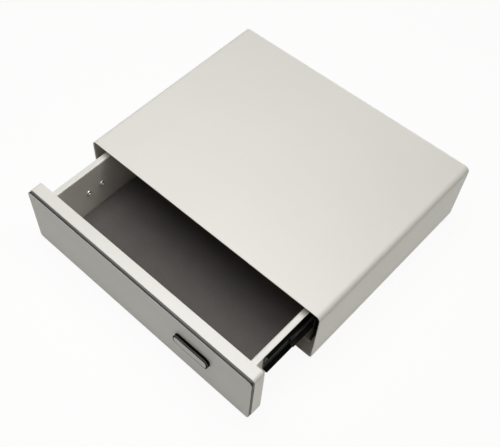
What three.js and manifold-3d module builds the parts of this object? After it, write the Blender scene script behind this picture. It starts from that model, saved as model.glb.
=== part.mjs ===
// Under-desk drawer safe: a wrapped sheet-steel housing, a drawer on ball-bearing slides, and a
// hollow front panel that carries the press pad, the electronics and the motor lock.
// Millimetres. X runs to the right, Y to the back and Z up. The origin is the middle of the
// housing's underside. The drawer stands partly open and the lock hook is raised.

import * as THREE from "three";
import { mergeVertices } from "three/addons/utils/BufferGeometryUtils.js";
import Module from "manifold-3d";

const wasm = await Module();
wasm.setup();

// Fits
const SEAT_GAP = 0.3;
const SCREW_CLEARANCE = 0.2;

// Housing
const HOUSING_WIDTH = 457;
const HOUSING_DEPTH = 358;
const HOUSING_HEIGHT = 118;
const HOUSING_SHEET = 2;
const REAR_PLATE_SHEET = 2;
const TOP_BEND_RADIUS = 9.5;
const FLOOR_BEND_RADIUS = 5;
const ANCHOR_HOLE_RADIUS = 4;
const ANCHOR_SIDE_INSET = 98.5;
const ANCHOR_END_INSET = 69;

// Drawer movement
const DRAWER_OPEN = 107.5;
const DRAWER_TRAVEL = 290;
const PANEL_TO_HOUSING_GAP = 0.5;

// Drawer tray
const TRAY_SHEET = 1.5;
const TRAY_FLANGE = 8.5;
const TRAY_FOOT_CLEARANCE = 1.2;
const TRAY_TOP_CLEARANCE = 13.5;
const MAT_THICKNESS = 6;
const MAT_EDGE_CLEARANCE = 1;
const MAT_CORNER_RADIUS = 8;
const BUMPER_RADIUS = 7;
const BUMPER_LENGTH = 21.2;
const BUMPER_SIDE_INSET = 108.5;
const BUMPER_HEIGHT = 60;

// Slides
const SLIDE_FRONT_SETBACK = 33;
const SLIDE_REAR_SETBACK = 3;
const SLIDE_CENTRE_HEIGHT = 56;
const SLIDE_MEMBER_HEIGHT = 45;
const SLIDE_THICKNESS = 12.7;
const SLIDE_SHEET = 1.2;
const DRAWER_MEMBER_DEPTH = 8.5;
const MIDDLE_LIP_CLEARANCE = 0.8;
const RACE_GAP = 3.2;
const CAGE_SHEET = 0.6;
const CAGE_WEB_CLEARANCE = 0.65;
const CAGE_LENGTH = 120;
const CAGE_END_MARGIN = 15;
const BALL_CLEARANCE = 0.15;
const BALLS_PER_ROW = 4;

// Slide brackets
const BRACKET_SHEET = 2;
const BRACKET_SIDE_GAP = 14.3;
const BRACKET_SETBACK = 17.5;
const BRACKET_FOOT_WIDTH = 26;
const BRACKET_BEND_RADIUS = 3;

// Front panel
const PANEL_SIDE_INSET = 3.5;
const PANEL_LIFT = 1;
const PANEL_TOP_DROP = 1.5;
const PANEL_DEPTH = 19;
const PANEL_SHEET = 1.5;
const PANEL_CORNER_RADIUS = 6;
const LEAST_CORNER_RADIUS = 0.5;
const PANEL_FRONT_RIM = 8;
const GASKET_DEPTH = 2.4;
const BACKPLATE_DEPTH = 2.8;
const FACE_DEPTH = 0.6;
const FASCIA_INSET = 0.5;

// Press pad
const PAD_SIDE_INSET = 111.5;
const PAD_HEIGHT_ABOVE_BASE = 69.5;
const PAD_WIDTH = 69;
const PAD_HEIGHT = 20;
const PAD_CORNER_RADIUS = 8;
const SURROUND_DEPTH = 2.2;
const KEY_TRAVEL = 1.2;
const KEY_CAP_DEPTH = 2.1;
const KEY_FACE_DEPTH = 0.7;
const KEY_STEM_WIDTH = 40;
const KEY_STEM_HEIGHT = 8;
const KEY_STEM_CLEARANCE = 1;
const KEY_COLLAR_MARGIN = 3;
const KEY_COLLAR_DEPTH = 1.5;

// Electronics
const BOARD_WIDTH = 110;
const BOARD_HEIGHT = 70;
const BOARD_THICKNESS = 1.6;
const STANDOFF_LENGTH = 2.4;
const STANDOFF_RADIUS = 3;
const STANDOFF_INSET = 5;
const SWITCH_SIZE = 12;
const DOME_RADIUS = 5;
const DOME_TOP_RADIUS = 3;
const DOME_HEIGHT = 1.6;
const BUZZER_RADIUS = 6;
const BUZZER_DEPTH = 7;
const BUZZER_INSET = 14;
const CHIP_SIZE = 12;
const CHIP_DEPTH = 1.6;

// Batteries
const BATTERY_RADIUS = 7.25;
const BATTERY_LENGTH = 50;
const BATTERY_NUB = 1;
const BATTERY_NUB_RADIUS = 2.4;
const BATTERY_PITCH = 15;
const HOLDER_SIDE_INSET = 158.5;
const HOLDER_HEIGHT_ABOVE_BASE = 60;
const HOLDER_WALL = 1.5;
const HOLDER_END_CLEARANCE = 3;
const COVER_SHEET = 1.5;
const COVER_MARGIN = 6;

// Lock
const HOOK_PIVOT_HEIGHT = 62;
const HOOK_PLATE = 3;
const HOOK_SIDE_CLEARANCE = 3;
const HOOK_HUB_RADIUS = 5;
const HOOK_REACH = 27;
const HOOK_ARM_ABOVE = 4;
const HOOK_ARM_BELOW = 3.5;
const HOOK_NOSE_LENGTH = 4.5;
const HOOK_NOSE_DROP = 8;
const HOOK_NOSE_CHAMFER = 1;
const HOOK_PIN_CLEARANCE = 1;
const HOOK_RELEASE_DEGREES = 25;
const SLOT_CLEARANCE = 1.5;
const STRIKER_PIN_RADIUS = 2.5;
const STRIKER_PIN_DROP = 2;
const STRIKER_PIN_OVERHANG = 1;
const STRIKER_PLATE = 2;
const STRIKER_PLATE_MARGIN = 8;
const SHAFT_RADIUS = 1.5;
const SHAFT_OVERHANG = 1;
const MOTOR_WIDTH = 12;
const MOTOR_DEPTH = 10;
const GEARBOX_LENGTH = 9.5;
const MOTOR_LENGTH = 16;
const MOTOR_BRACKET_MARGIN = 8;
const MOTOR_CHEEK = 1.5;

// Screws and leads
const SLIDE_SCREW_HEAD_RADIUS = 4;
const SLIDE_SCREW_HEAD_HEIGHT = 2;
const SLIDE_SCREW_RADIUS = 2;
const SLIDE_SCREW_INSETS = [28.5, 56.5];
const PANEL_SCREW_SIDE_INSET = 11;
const PANEL_SCREW_HEIGHTS = [25, 88];
const PANEL_SCREW_REACH = 5;
const LEAD_RADIUS = 1.2;
const LEAD_LIFT = 6;

// Smoothness of round shapes
const BEND_STEPS = 4;
const ROD_SIDES = 12;
const BALL_SIDES = 6;
const LEAD_SIDES = 6;
const LEAD_STEPS = 14;
const WELD_DISTANCE = 1e-4;

// Planes that several pieces share
const HOUSING_FRONT = -HOUSING_DEPTH / 2;
const HOUSING_REAR = HOUSING_DEPTH / 2;
const HOUSING_INNER_X = HOUSING_WIDTH / 2 - HOUSING_SHEET;
const PLATE_FRONT = HOUSING_REAR - REAR_PLATE_SHEET;
const BUMPER_X = HOUSING_WIDTH / 2 - BUMPER_SIDE_INSET;
const PAD_X = HOUSING_WIDTH / 2 - PAD_SIDE_INSET;
const HOLDER_X = HOLDER_SIDE_INSET - HOUSING_WIDTH / 2;
const PANEL_HALF_WIDTH = HOUSING_WIDTH / 2 - PANEL_SIDE_INSET;
const PANEL_REAR = HOUSING_FRONT - PANEL_TO_HOUSING_GAP;
const PANEL_FRONT = PANEL_REAR - PANEL_DEPTH;
const CAVITY_REAR = PANEL_REAR - PANEL_SHEET;
const CAVITY_FRONT = PANEL_FRONT + PANEL_SHEET;
const PANEL_TOP = HOUSING_HEIGHT - PANEL_TOP_DROP;
const GASKET_FRONT = PANEL_FRONT - GASKET_DEPTH;
const BACKPLATE_FRONT = GASKET_FRONT - BACKPLATE_DEPTH;
const FACE_FRONT = BACKPLATE_FRONT - FACE_DEPTH;
const SLIDE_OUTER_X = HOUSING_INNER_X - BRACKET_SIDE_GAP - BRACKET_SHEET;
const TRAY_OUTER_X = SLIDE_OUTER_X - SLIDE_THICKNESS;
const TRAY_WALL_X = TRAY_OUTER_X - TRAY_SHEET;
const TRAY_BOTTOM = HOUSING_SHEET + BRACKET_SHEET + TRAY_FOOT_CLEARANCE;
const TRAY_FLOOR = TRAY_BOTTOM + TRAY_SHEET;
const TRAY_TOP = HOUSING_HEIGHT - HOUSING_SHEET - TRAY_TOP_CLEARANCE;
const TRAY_REAR = PLATE_FRONT - BUMPER_LENGTH - SEAT_GAP;
const TRAY_FRONT_WALL = PANEL_REAR + TRAY_SHEET;
const SLIDE_FRONT = PANEL_REAR + SLIDE_FRONT_SETBACK;
const SLIDE_REAR = TRAY_REAR - SLIDE_REAR_SETBACK;
const SLIDE_SCREW_PLACES = SLIDE_SCREW_INSETS.flatMap((inset) => [SLIDE_FRONT + inset, SLIDE_REAR - inset]);
const BRACKET_FRONT = HOUSING_FRONT + BRACKET_SETBACK;

// Finishes by piece
const LIGHT_PAINT = { color: 0xdedcd5, roughness: 0.5, metalness: 0.05 };
const SILVER_FACE = { color: 0x9a9b97, roughness: 0.4, metalness: 0.6 };
const BLACK_PLASTIC = { color: 0x161616, roughness: 0.55, metalness: 0 };
const BLACK_STEEL = { color: 0x121214, roughness: 0.35, metalness: 0.6 };
const BRIGHT_STEEL = { color: 0xb9bbbd, roughness: 0.3, metalness: 1 };
const RUBBER = { color: 0x1c1c1c, roughness: 0.9, metalness: 0 };
const FOAM = { color: 0x3b3836, roughness: 0.95, metalness: 0 };
const BOARD_GREEN = { color: 0x1f5a35, roughness: 0.5, metalness: 0.1 };
const BATTERY_SLEEVE = { color: 0x3c4046, roughness: 0.4, metalness: 0.3 };
const LEAD_SLEEVE = { color: 0x8a1d1d, roughness: 0.6, metalness: 0 };

// Makes a box from its six planes.
function box(x0, x1, y0, y1, z0, z1) {
  const geometry = new THREE.BoxGeometry(Math.abs(x1 - x0), Math.abs(y1 - y0), Math.abs(z1 - z0));
  return geometry.translate((x0 + x1) / 2, (y0 + y1) / 2, (z0 + z1) / 2);
}

// Extrudes an outline drawn in X and Z from one Y plane to another.
function extrudeY(shape, y0, y1, steps = BEND_STEPS) {
  const settings = { depth: y1 - y0, bevelEnabled: false, curveSegments: steps };
  return new THREE.ExtrudeGeometry(shape, settings).rotateX(Math.PI / 2).translate(0, y1, 0);
}

// Extrudes an outline drawn in Y and Z from one X plane to another.
function extrudeX(shape, x0, x1, steps = BEND_STEPS) {
  const settings = { depth: x1 - x0, bevelEnabled: false, curveSegments: steps };
  const turn = new THREE.Matrix4().makeBasis(
    new THREE.Vector3(0, 1, 0),
    new THREE.Vector3(0, 0, 1),
    new THREE.Vector3(1, 0, 0),
  );
  return new THREE.ExtrudeGeometry(shape, settings).applyMatrix4(turn).translate(x0, 0, 0);
}

// Extrudes an outline drawn in X and Y from one height to another.
function extrudeZ(shape, z0, z1, steps = BEND_STEPS) {
  const settings = { depth: z1 - z0, bevelEnabled: false, curveSegments: steps };
  return new THREE.ExtrudeGeometry(shape, settings).translate(0, 0, z0);
}

// Makes a round rod along X.
function rodX(radius, x0, x1, y, z, sides = ROD_SIDES) {
  const geometry = new THREE.CylinderGeometry(radius, radius, Math.abs(x1 - x0), sides);
  return geometry.rotateZ(Math.PI / 2).translate((x0 + x1) / 2, y, z);
}

// Makes a round rod along Y.
function rodY(radius, y0, y1, x, z, sides = ROD_SIDES) {
  const geometry = new THREE.CylinderGeometry(radius, radius, Math.abs(y1 - y0), sides);
  return geometry.translate(x, (y0 + y1) / 2, z);
}

// Makes a round rod along Z.
function rodZ(radius, z0, z1, x, y, sides = ROD_SIDES) {
  const geometry = new THREE.CylinderGeometry(radius, radius, Math.abs(z1 - z0), sides);
  return geometry.rotateX(Math.PI / 2).translate(x, y, (z0 + z1) / 2);
}

// Turns a closed geometry into a solid that can be joined and cut.
function solidOf(geometry) {
  const bare = geometry.clone();
  bare.deleteAttribute("normal");
  bare.deleteAttribute("uv");
  const merged = mergeVertices(bare, WELD_DISTANCE);
  const vertProperties = new Float32Array(merged.attributes.position.array);
  const triVerts = new Uint32Array(merged.index.array);
  return new wasm.Manifold(new wasm.Mesh({ numProp: 3, vertProperties, triVerts }));
}

// Turns a solid back into a geometry.
function geometryOf(solid) {
  const mesh = solid.getMesh();
  const geometry = new THREE.BufferGeometry();
  geometry.setAttribute("position", new THREE.BufferAttribute(mesh.vertProperties, 3));
  geometry.setIndex(new THREE.BufferAttribute(mesh.triVerts, 1));
  geometry.computeVertexNormals();
  return geometry;
}

// Joins the pieces of one body, then cuts the tools out of it.
function build(pieces, tools = []) {
  const body = pieces.map(solidOf).reduce((sum, piece) => sum.add(piece));
  return geometryOf(tools.map(solidOf).reduce((rest, tool) => rest.subtract(tool), body));
}

// Draws a rectangle with one radius at its two upper corners and another at its two lower ones.
function roundedOutline(x0, x1, z0, z1, upper, lower, Kind = THREE.Shape) {
  const outline = new Kind();
  outline.absarc(x1 - upper, z1 - upper, upper, 0, Math.PI / 2, false);
  outline.absarc(x0 + upper, z1 - upper, upper, Math.PI / 2, Math.PI, false);
  outline.absarc(x0 + lower, z0 + lower, lower, Math.PI, 1.5 * Math.PI, false);
  outline.absarc(x1 - lower, z0 + lower, lower, 1.5 * Math.PI, 2 * Math.PI, false);
  outline.closePath();
  return outline;
}

// Draws a polygon through a list of points.
function polygon(points) {
  return new THREE.Shape(points.map(([u, v]) => new THREE.Vector2(u, v)));
}

// Adds one named piece to a group.
function addPart(group, name, geometry, finish) {
  const mesh = new THREE.Mesh(geometry, new THREE.MeshStandardMaterial(finish));
  mesh.name = name;
  group.add(mesh);
}

// Adds an empty group at a place in its parent.
function addGroup(parent, x = 0, y = 0, z = 0) {
  const group = new THREE.Group();
  group.position.set(x, y, z);
  parent.add(group);
  return group;
}

// The wrapped sheet: top, sides and floor in one tube, with four anchor holes in the floor.
function housingShell() {
  const halfWidth = HOUSING_WIDTH / 2;
  const outline = roundedOutline(
    -halfWidth, halfWidth, 0, HOUSING_HEIGHT, TOP_BEND_RADIUS, FLOOR_BEND_RADIUS);
  outline.holes.push(roundedOutline(
    -HOUSING_INNER_X, HOUSING_INNER_X, HOUSING_SHEET, HOUSING_HEIGHT - HOUSING_SHEET,
    TOP_BEND_RADIUS - HOUSING_SHEET, FLOOR_BEND_RADIUS - HOUSING_SHEET, THREE.Path));
  const tube = extrudeY(outline, HOUSING_FRONT, PLATE_FRONT);
  const x = halfWidth - ANCHOR_SIDE_INSET;
  const y = HOUSING_DEPTH / 2 - ANCHOR_END_INSET;
  const places = [[-x, -y], [x, -y], [-x, y], [x, y]];
  return build([tube], places.map(([holeX, holeY]) => rodZ(
    ANCHOR_HOLE_RADIUS, -HOUSING_SHEET, 2 * HOUSING_SHEET, holeX, holeY)));
}

// The flat plate that closes the back of the tube.
function rearPlate() {
  const halfWidth = HOUSING_WIDTH / 2;
  const outline = roundedOutline(
    -halfWidth, halfWidth, 0, HOUSING_HEIGHT, TOP_BEND_RADIUS, FLOOR_BEND_RADIUS);
  return extrudeY(outline, PLATE_FRONT, HOUSING_REAR);
}

// One bent bracket: a foot on the housing floor and an upright that carries a slide.
function slideBracket(side) {
  const outerX = SLIDE_OUTER_X + BRACKET_SHEET;
  const top = SLIDE_CENTRE_HEIGHT + SLIDE_MEMBER_HEIGHT / 2;
  const outline = new THREE.Shape();
  outline.moveTo(SLIDE_OUTER_X, top);
  outline.lineTo(SLIDE_OUTER_X, HOUSING_SHEET + BRACKET_SHEET);
  outline.lineTo(outerX - BRACKET_FOOT_WIDTH, HOUSING_SHEET + BRACKET_SHEET);
  outline.lineTo(outerX - BRACKET_FOOT_WIDTH, HOUSING_SHEET);
  outline.absarc(
    outerX - BRACKET_BEND_RADIUS, HOUSING_SHEET + BRACKET_BEND_RADIUS, BRACKET_BEND_RADIUS,
    1.5 * Math.PI, 2 * Math.PI, false);
  outline.lineTo(outerX, top);
  outline.closePath();
  const rightHand = extrudeY(outline, BRACKET_FRONT, SLIDE_REAR);
  return side > 0 ? rightHand : rightHand.rotateZ(Math.PI).translate(0, BRACKET_FRONT + SLIDE_REAR, 0);
}

// Draws the C section of a slide member from the X of its web to the X of its lips.
function channelOutline(side, webX, lipX, height, sheet) {
  const inward = Math.sign(lipX - webX) * sheet;
  const low = SLIDE_CENTRE_HEIGHT - height / 2;
  const high = SLIDE_CENTRE_HEIGHT + height / 2;
  const corners = [
    [webX, low], [lipX, low], [lipX, low + sheet], [webX + inward, low + sheet],
    [webX + inward, high - sheet], [lipX, high - sheet], [lipX, high], [webX, high],
  ];
  return polygon(corners.map(([x, z]) => [side * x, z]));
}

// Heights of the three nested members and of the two ball cages between them.
const MIDDLE_MEMBER_HEIGHT = SLIDE_MEMBER_HEIGHT - 2 * (SLIDE_SHEET + RACE_GAP);
const FIXED_MEMBER_HEIGHT = MIDDLE_MEMBER_HEIGHT - 2 * (SLIDE_SHEET + RACE_GAP);
const CAGE_SPACE = CAGE_SHEET + 2 * CAGE_WEB_CLEARANCE;
const DRAWER_LIP_X = TRAY_OUTER_X + DRAWER_MEMBER_DEPTH;
const MIDDLE_WEB_X = TRAY_OUTER_X + SLIDE_SHEET + CAGE_SPACE;
const MIDDLE_LIP_X = SLIDE_OUTER_X - SLIDE_SHEET - MIDDLE_LIP_CLEARANCE;
const FIXED_LIP_X = MIDDLE_WEB_X + SLIDE_SHEET + CAGE_SPACE;

// The member screwed to the tray wall, with its screw holes.
function drawerMember(side) {
  const outline = channelOutline(side, TRAY_OUTER_X, DRAWER_LIP_X, SLIDE_MEMBER_HEIGHT, SLIDE_SHEET);
  const holes = SLIDE_SCREW_PLACES.map((y) => slideScrewHole(side, y));
  return build([extrudeY(outline, SLIDE_FRONT, SLIDE_REAR)], holes);
}

// The member that floats between the other two.
function middleMember(side) {
  const outline = channelOutline(side, MIDDLE_WEB_X, MIDDLE_LIP_X, MIDDLE_MEMBER_HEIGHT, SLIDE_SHEET);
  return extrudeY(outline, SLIDE_FRONT, SLIDE_REAR);
}

// The member fixed to the bracket.
function fixedMember(side) {
  const outline = channelOutline(side, SLIDE_OUTER_X, FIXED_LIP_X, FIXED_MEMBER_HEIGHT, SLIDE_SHEET);
  return extrudeY(outline, SLIDE_FRONT, SLIDE_REAR);
}

// A ball cage: a thin C strip with a row of balls above and another below.
function ballCage(side, webX, lipX, raceHeight) {
  const start = SLIDE_FRONT + DRAWER_TRAVEL / 4 + CAGE_END_MARGIN;
  const height = raceHeight + RACE_GAP + CAGE_SHEET;
  const strip = extrudeY(channelOutline(side, webX, lipX, height, CAGE_SHEET), start, start + CAGE_LENGTH);
  const radius = RACE_GAP / 2 - BALL_CLEARANCE;
  const ballX = side * (lipX - radius);
  const balls = [];
  for (let i = 0; i < BALLS_PER_ROW; i += 1) {
    const y = start + CAGE_LENGTH * (i + 0.5) / BALLS_PER_ROW;
    for (const rise of [-1, 1]) {
      const z = SLIDE_CENTRE_HEIGHT + rise * (raceHeight + RACE_GAP) / 2;
      balls.push(new THREE.SphereGeometry(radius, BALL_SIDES, BALL_SIDES).translate(ballX, y, z));
    }
  }
  return build([strip, ...balls]);
}

// The plate on the housing's left wall that holds the striker pin.
function strikerPlate() {
  const x = -HOUSING_INNER_X;
  const [y, z] = strikerPinCentre();
  return box(
    x, x + STRIKER_PLATE, y - STRIKER_PLATE_MARGIN, y + STRIKER_PLATE_MARGIN,
    z - STRIKER_PLATE_MARGIN, z + STRIKER_PLATE_MARGIN);
}

// The pin that the lock hook catches.
function strikerPin() {
  const [y, z] = strikerPinCentre();
  const left = -HOUSING_INNER_X + STRIKER_PLATE;
  return rodX(STRIKER_PIN_RADIUS, left, HOOK_RIGHT + STRIKER_PIN_OVERHANG, y, z);
}

// A rubber stop between the rear plate and the closed tray.
function rearBumper(x) {
  return rodY(BUMPER_RADIUS, PLATE_FRONT - BUMPER_LENGTH, PLATE_FRONT, x, BUMPER_HEIGHT);
}

// Cuts for one slide screw, shared by the tray wall and the slide member.
function slideScrewHole(side, y) {
  return rodX(
    SLIDE_SCREW_RADIUS + SCREW_CLEARANCE, side * (TRAY_WALL_X - TRAY_SHEET),
    side * (TRAY_OUTER_X + 2 * SLIDE_SHEET), y, SLIDE_CENTRE_HEIGHT);
}

// A pan-head screw: its head inside the tray and its shank in the slide member's web.
function slideScrew(side, y) {
  const headX = TRAY_WALL_X - SLIDE_SCREW_HEAD_HEIGHT;
  const shank = rodX(
    SLIDE_SCREW_RADIUS, side * (headX + SLIDE_SCREW_HEAD_HEIGHT / 2), side * (TRAY_OUTER_X + SLIDE_SHEET),
    y, SLIDE_CENTRE_HEIGHT);
  const head = rodX(SLIDE_SCREW_HEAD_RADIUS, side * headX, side * TRAY_WALL_X, y, SLIDE_CENTRE_HEIGHT);
  return build([head, shank]);
}

// The folded tray: floor, four walls and an outward flange along the top of each side wall.
function drawerTray() {
  const outer = box(-TRAY_OUTER_X, TRAY_OUTER_X, PANEL_REAR, TRAY_REAR, TRAY_BOTTOM, TRAY_TOP);
  const flangeX = TRAY_OUTER_X + TRAY_FLANGE;
  const flanges = box(-flangeX, flangeX, PANEL_REAR, TRAY_REAR, TRAY_TOP - TRAY_SHEET, TRAY_TOP);
  const inside = box(
    -TRAY_WALL_X, TRAY_WALL_X, TRAY_FRONT_WALL, TRAY_REAR - TRAY_SHEET, TRAY_FLOOR, TRAY_TOP + TRAY_SHEET);
  const holes = [-1, 1].flatMap((side) => SLIDE_SCREW_PLACES.map((y) => slideScrewHole(side, y)));
  return build([outer, flanges], [inside, ...holes, ...panelScrewHoles(), batteryWindow()]);
}

// The flat foam mat on the tray floor.
function foamMat() {
  const halfWidth = TRAY_WALL_X - MAT_EDGE_CLEARANCE;
  const front = TRAY_FRONT_WALL + MAT_EDGE_CLEARANCE;
  const rear = TRAY_REAR - TRAY_SHEET - MAT_EDGE_CLEARANCE;
  const outline = roundedOutline(-halfWidth, halfWidth, front, rear, MAT_CORNER_RADIUS, MAT_CORNER_RADIUS);
  const bottom = TRAY_FLOOR + SEAT_GAP;
  return extrudeZ(outline, bottom, bottom + MAT_THICKNESS);
}

// Draws the panel's front outline, drawn in by an inset.
function panelOutline(inset, Kind = THREE.Shape) {
  const halfWidth = PANEL_HALF_WIDTH - inset;
  const radius = Math.max(PANEL_CORNER_RADIUS - inset, LEAST_CORNER_RADIUS);
  return roundedOutline(
    -halfWidth, halfWidth, PANEL_LIFT + inset, PANEL_TOP - inset, radius, radius, Kind);
}

// The hollow painted body of the front panel, open at the front inside a rim.
function panelBody() {
  const shell = extrudeY(panelOutline(0), PANEL_FRONT, PANEL_REAR);
  const cavity = extrudeY(panelOutline(PANEL_SHEET), CAVITY_FRONT, CAVITY_REAR);
  const opening = extrudeY(panelOutline(PANEL_FRONT_RIM), PANEL_FRONT - PANEL_SHEET, CAVITY_REAR);
  const hollow = solidOf(shell).subtract(solidOf(cavity)).subtract(solidOf(opening));
  const studs = boardCorners().map(([x, z]) => solidOf(
    rodY(STANDOFF_RADIUS, CAVITY_REAR - STANDOFF_LENGTH, CAVITY_REAR + PANEL_SHEET / 2, x, z)));
  const cuts = [hookSlot(), ...panelScrewHoles(), batteryWindow()].map(solidOf);
  const body = studs.reduce((sum, stud) => sum.add(stud), hollow);
  return geometryOf(cuts.reduce((rest, tool) => rest.subtract(tool), body));
}

// The black seal between the panel's rim and the fascia.
function fasciaGasket() {
  const ring = panelOutline(FASCIA_INSET);
  ring.holes.push(panelOutline(PANEL_FRONT_RIM, THREE.Path));
  return extrudeY(ring, GASKET_FRONT, PANEL_FRONT);
}

// A plate of the fascia, with the opening for the key stem.
function fasciaPlate(front, rear) {
  const plate = panelOutline(FASCIA_INSET);
  plate.holes.push(stemOpening());
  return extrudeY(plate, front, rear);
}

// Draws a rectangle centred on the press pad.
function padOutline(width, height, radius, Kind = THREE.Shape) {
  return roundedOutline(
    PAD_X - width / 2, PAD_X + width / 2, PAD_HEIGHT_ABOVE_BASE - height / 2,
    PAD_HEIGHT_ABOVE_BASE + height / 2, radius, radius, Kind);
}

// Draws the opening that the key stem slides in.
function stemOpening() {
  const width = KEY_STEM_WIDTH + 2 * KEY_STEM_CLEARANCE;
  return padOutline(width, KEY_STEM_HEIGHT + 2 * KEY_STEM_CLEARANCE, KEY_STEM_CLEARANCE, THREE.Path);
}

// The fixed black surround of the pad.
function padSurround() {
  const ring = padOutline(PAD_WIDTH, PAD_HEIGHT, PAD_CORNER_RADIUS);
  ring.holes.push(stemOpening());
  return extrudeY(ring, FACE_FRONT - SURROUND_DEPTH, FACE_FRONT);
}

// Planes of the moving key, worked out from the surround and its travel.
const KEY_CAP_REAR = FACE_FRONT - SURROUND_DEPTH - KEY_TRAVEL - SEAT_GAP;
const KEY_CAP_FRONT = KEY_CAP_REAR - KEY_CAP_DEPTH;
const KEY_COLLAR_FRONT = GASKET_FRONT + SEAT_GAP;
const KEY_STEM_REAR = KEY_COLLAR_FRONT + KEY_COLLAR_DEPTH;

// The moving key: a cap, a stem and the collar that keeps it in.
function padKey() {
  const cap = extrudeY(padOutline(PAD_WIDTH, PAD_HEIGHT, PAD_CORNER_RADIUS), KEY_CAP_FRONT, KEY_CAP_REAR);
  const halfWidth = KEY_STEM_WIDTH / 2;
  const halfHeight = KEY_STEM_HEIGHT / 2;
  const margin = KEY_COLLAR_MARGIN;
  const z = PAD_HEIGHT_ABOVE_BASE;
  const stem = box(
    PAD_X - halfWidth, PAD_X + halfWidth, KEY_CAP_REAR - KEY_CAP_DEPTH / 2, KEY_STEM_REAR,
    z - halfHeight, z + halfHeight);
  const collar = box(
    PAD_X - halfWidth - margin, PAD_X + halfWidth + margin, KEY_COLLAR_FRONT, KEY_STEM_REAR,
    z - halfHeight - margin, z + halfHeight + margin);
  return build([cap, stem, collar]);
}

// The silver plate on the key.
function keyFace() {
  const outline = padOutline(PAD_WIDTH, PAD_HEIGHT, PAD_CORNER_RADIUS);
  return extrudeY(outline, KEY_CAP_FRONT - KEY_FACE_DEPTH, KEY_CAP_FRONT);
}

// Planes of the circuit board and of the switch that the key works.
const BOARD_REAR = CAVITY_REAR - STANDOFF_LENGTH;
const BOARD_FRONT = BOARD_REAR - BOARD_THICKNESS;
const SWITCH_FRONT = KEY_STEM_REAR + KEY_TRAVEL + SEAT_GAP + DOME_HEIGHT;

// The places of the four board standoffs.
function boardCorners() {
  const dx = BOARD_WIDTH / 2 - STANDOFF_INSET;
  const dz = BOARD_HEIGHT / 2 - STANDOFF_INSET;
  return [-1, 1].flatMap((i) => [-1, 1].map((j) => [PAD_X + i * dx, PAD_HEIGHT_ABOVE_BASE + j * dz]));
}

// The control board with its chips.
function controlBoard() {
  const halfWidth = BOARD_WIDTH / 2;
  const halfHeight = BOARD_HEIGHT / 2;
  const z = PAD_HEIGHT_ABOVE_BASE;
  const board = box(
    PAD_X - halfWidth, PAD_X + halfWidth, BOARD_FRONT, BOARD_REAR, z - halfHeight, z + halfHeight);
  const chips = [-1, 1].map((i) => {
    const x = PAD_X + i * (SWITCH_SIZE + CHIP_SIZE);
    return box(
      x - CHIP_SIZE / 2, x + CHIP_SIZE / 2, BOARD_FRONT - CHIP_DEPTH, BOARD_FRONT + BOARD_THICKNESS / 2,
      z - CHIP_SIZE / 2, z + CHIP_SIZE / 2);
  });
  return build([board, ...chips]);
}

// The switch behind the key stem.
function padSwitch() {
  const half = SWITCH_SIZE / 2;
  const z = PAD_HEIGHT_ABOVE_BASE;
  return box(PAD_X - half, PAD_X + half, SWITCH_FRONT, BOARD_FRONT, z - half, z + half);
}

// The rubber dome that returns the key.
function keyDome() {
  const profile = [[0, 0], [DOME_RADIUS, 0], [DOME_TOP_RADIUS, DOME_HEIGHT], [0, DOME_HEIGHT]];
  const points = profile.map(([r, h]) => new THREE.Vector2(r, h));
  const dome = new THREE.LatheGeometry(points, ROD_SIDES);
  return dome.rotateX(Math.PI).translate(PAD_X, SWITCH_FRONT, PAD_HEIGHT_ABOVE_BASE);
}

// The buzzer on the board.
function buzzer() {
  const x = PAD_X + BOARD_WIDTH / 2 - BUZZER_INSET;
  const z = PAD_HEIGHT_ABOVE_BASE + BOARD_HEIGHT / 2 - BUZZER_INSET;
  return rodY(BUZZER_RADIUS, BOARD_FRONT - BUZZER_DEPTH, BOARD_FRONT, x, z);
}

// Half sizes of the battery window, which the holder, the cover and both cut walls share.
const CELL_RUN = BATTERY_LENGTH + BATTERY_NUB;
const WINDOW_HALF_WIDTH = CELL_RUN + HOLDER_END_CLEARANCE;
const WINDOW_HALF_HEIGHT = BATTERY_PITCH / 2 + BATTERY_RADIUS + SEAT_GAP;
const HOLDER_FRONT = CAVITY_REAR - 2 * BATTERY_RADIUS - SEAT_GAP - HOLDER_WALL;

// The opening behind the batteries, through the panel's back and the tray's front wall.
function batteryWindow() {
  return box(
    HOLDER_X - WINDOW_HALF_WIDTH, HOLDER_X + WINDOW_HALF_WIDTH, CAVITY_REAR - PANEL_SHEET / 2,
    TRAY_FRONT_WALL + TRAY_SHEET, HOLDER_HEIGHT_ABOVE_BASE - WINDOW_HALF_HEIGHT,
    HOLDER_HEIGHT_ABOVE_BASE + WINDOW_HALF_HEIGHT);
}

// The open box that the batteries lie in.
function batteryHolder() {
  const halfWidth = WINDOW_HALF_WIDTH + HOLDER_WALL;
  const halfHeight = WINDOW_HALF_HEIGHT + HOLDER_WALL;
  const z = HOLDER_HEIGHT_ABOVE_BASE;
  const outer = box(
    HOLDER_X - halfWidth, HOLDER_X + halfWidth, HOLDER_FRONT, CAVITY_REAR, z - halfHeight, z + halfHeight);
  const inner = box(
    HOLDER_X - WINDOW_HALF_WIDTH, HOLDER_X + WINDOW_HALF_WIDTH, HOLDER_FRONT + HOLDER_WALL,
    CAVITY_REAR + HOLDER_WALL, z - WINDOW_HALF_HEIGHT, z + WINDOW_HALF_HEIGHT);
  return build([outer], [inner]);
}

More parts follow.
